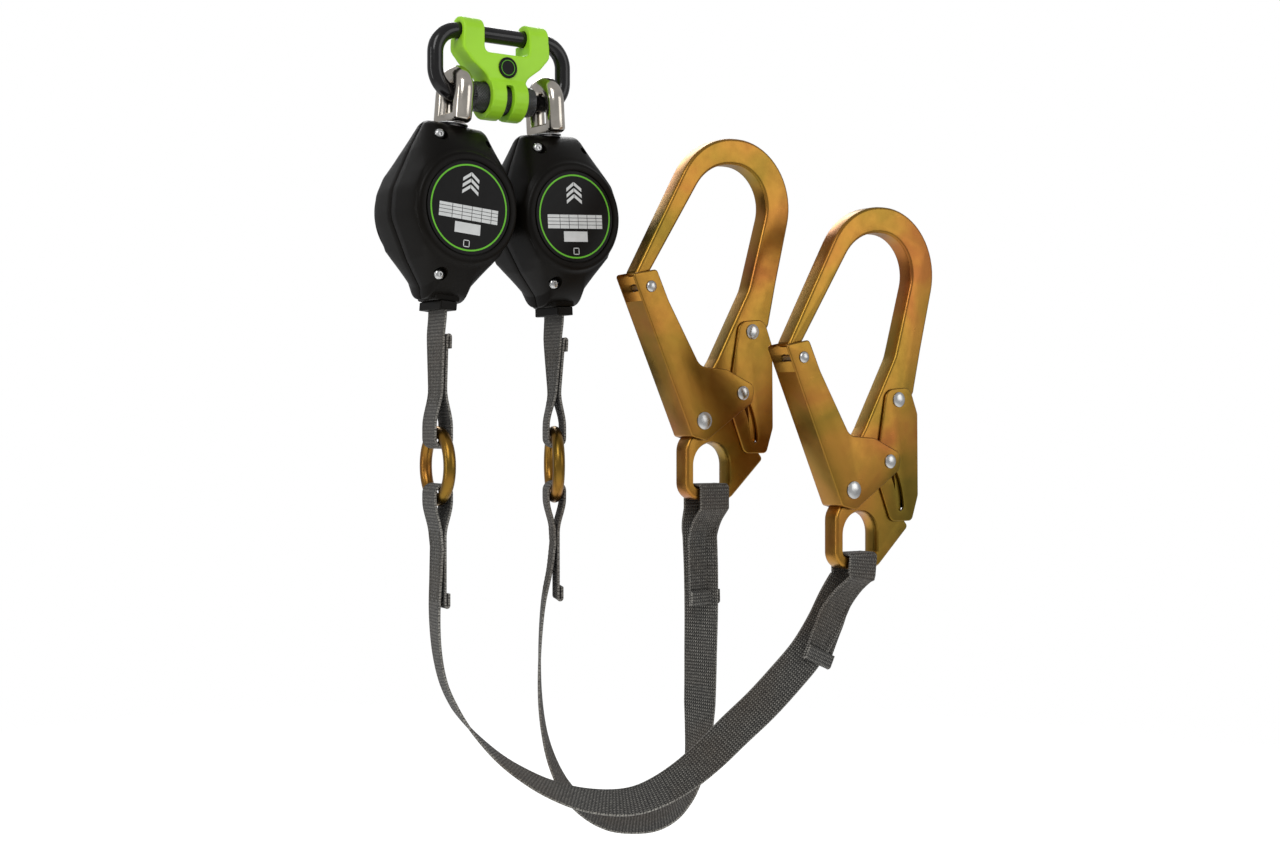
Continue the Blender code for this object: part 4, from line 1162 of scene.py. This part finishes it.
def build_stage():
    world = bpy.data.worlds.new("studio")
    world.use_nodes = True
    # The room seen is white, and the room that lights the object is a softer grey
    nodes, links = world.node_tree.nodes, world.node_tree.links
    room = nodes["Background"]
    room.inputs["Color"].default_value = (0.97, 0.98, 1.0, 1.0)
    room.inputs["Strength"].default_value = ROOM_LIGHT
    seen = nodes.new("ShaderNodeBackground")
    seen.inputs["Color"].default_value = (1.0, 1.0, 1.0, 1.0)
    seen.inputs["Strength"].default_value = 1.0
    mix = nodes.new("ShaderNodeMixShader")
    rays = nodes.new("ShaderNodeLightPath")
    links.new(rays.outputs["Is Camera Ray"], mix.inputs["Fac"])
    links.new(room.outputs[0], mix.inputs[1])
    links.new(seen.outputs[0], mix.inputs[2])
    links.new(mix.outputs[0], nodes["World Output"].inputs["Surface"])
    bpy.context.scene.world = world
    bpy.context.scene.view_settings.view_transform = "Standard"
    middle = (0.08, -0.06, -0.25)
    area_light("key", (-1.5, -1.3, 1.3), middle, (0.9, 1.4), 20)
    area_light("fill", (1.3, -1.7, 0.3), middle, (1.2, 1.2), 7)
    area_light("rim", (0.6, 1.5, 1.0), middle, (1.4, 0.6), 12)
    area_light("strip", (-1.9, 0.2, -0.1), middle, (0.3, 1.6), 6)
    floor = Look("floor", (0.86, 0.86, 0.85), 0.0, 0.8, Specular_IOR_Level=0.1)
    floor.colour(floor.noise(3, 2.0), [(0.3, (0.85, 0.85, 0.84)), (0.7, (0.87, 0.87, 0.86))])
    floor.shader.inputs["Emission Color"].default_value = (1.0, 1.0, 1.0, 1.0)
    floor.shader.inputs["Emission Strength"].default_value = 0.58
    # The floor fades away from the object, so that no horizon shows
    reach = floor.node("ShaderNodeVectorMath", operation="LENGTH")
    fade = floor.node("ShaderNodeMapRange")
    fade.inputs["From Min"].default_value, fade.inputs["From Max"].default_value = FLOOR_FADE
    clear = floor.node("ShaderNodeBsdfTransparent")
    mix = floor.node("ShaderNodeMixShader")
    for source, target in ((floor.coordinates(), reach.inputs[0]),
                           (reach.outputs["Value"], fade.inputs["Value"]),
                           (fade.outputs["Result"], mix.inputs["Fac"]),
                           (floor.shader.outputs[0], mix.inputs[1]),
                           (clear.outputs[0], mix.inputs[2]),
                           (mix.outputs[0], floor.nodes["Material Output"].inputs["Surface"])):
        floor.links.new(source, target)
    outline = [(x * FLOOR_HALF, y * FLOOR_HALF, FLOOR_Z)
               for x, y in ((-1, -1), (1, -1), (1, 1), (-1, 1))]
    place("floor", (outline, [(0, 1, 2, 3)]), floor.material)


def corners(bounds):
    return [list(corner) for corner in bounds[:2]]


def main():
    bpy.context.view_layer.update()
    build_camera()
    look = make_looks()
    by_slot = {"black_steel": "black_steel", "green_plastic": "green", "stainless": "stainless",
               "black_plastic": "plastic", "label_print": "print_black", "gold_steel": "gold",
               "web": "web", "zinc_steel": "zinc", "spring_steel": "spring"}
    slots = {s["node"]: s["material_slot"] for s in frame["record"]["subparts"]}
    for node, thing in frame["nodes"].items():
        paint(thing, look[by_slot[slots[node]]])
    for name, side, lean in UNITS:
        matrix = (Matrix.Translation((side * EYE_X, 0, -BAR_SPACING))
                  @ Matrix.Rotation(math.radians(-side * lean), 4, "Y"))
        build_leg(name, look)
        build_ring(name, look)
        build_strap(name, look, lean, side)
        build_eye(name, look, matrix)
        build_unit(name, look, matrix)
    build_connector(look)
    build_bridge(look)
    for name in HOOKS:
        build_hook(name, look)
    build_stage()
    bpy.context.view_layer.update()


with open("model.json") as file:
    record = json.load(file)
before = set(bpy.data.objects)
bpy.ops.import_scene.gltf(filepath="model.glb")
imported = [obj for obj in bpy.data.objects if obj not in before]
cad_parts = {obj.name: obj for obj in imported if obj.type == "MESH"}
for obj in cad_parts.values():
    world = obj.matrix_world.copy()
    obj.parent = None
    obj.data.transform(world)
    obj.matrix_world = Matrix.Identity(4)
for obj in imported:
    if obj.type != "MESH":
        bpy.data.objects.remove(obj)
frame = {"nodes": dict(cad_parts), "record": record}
main()
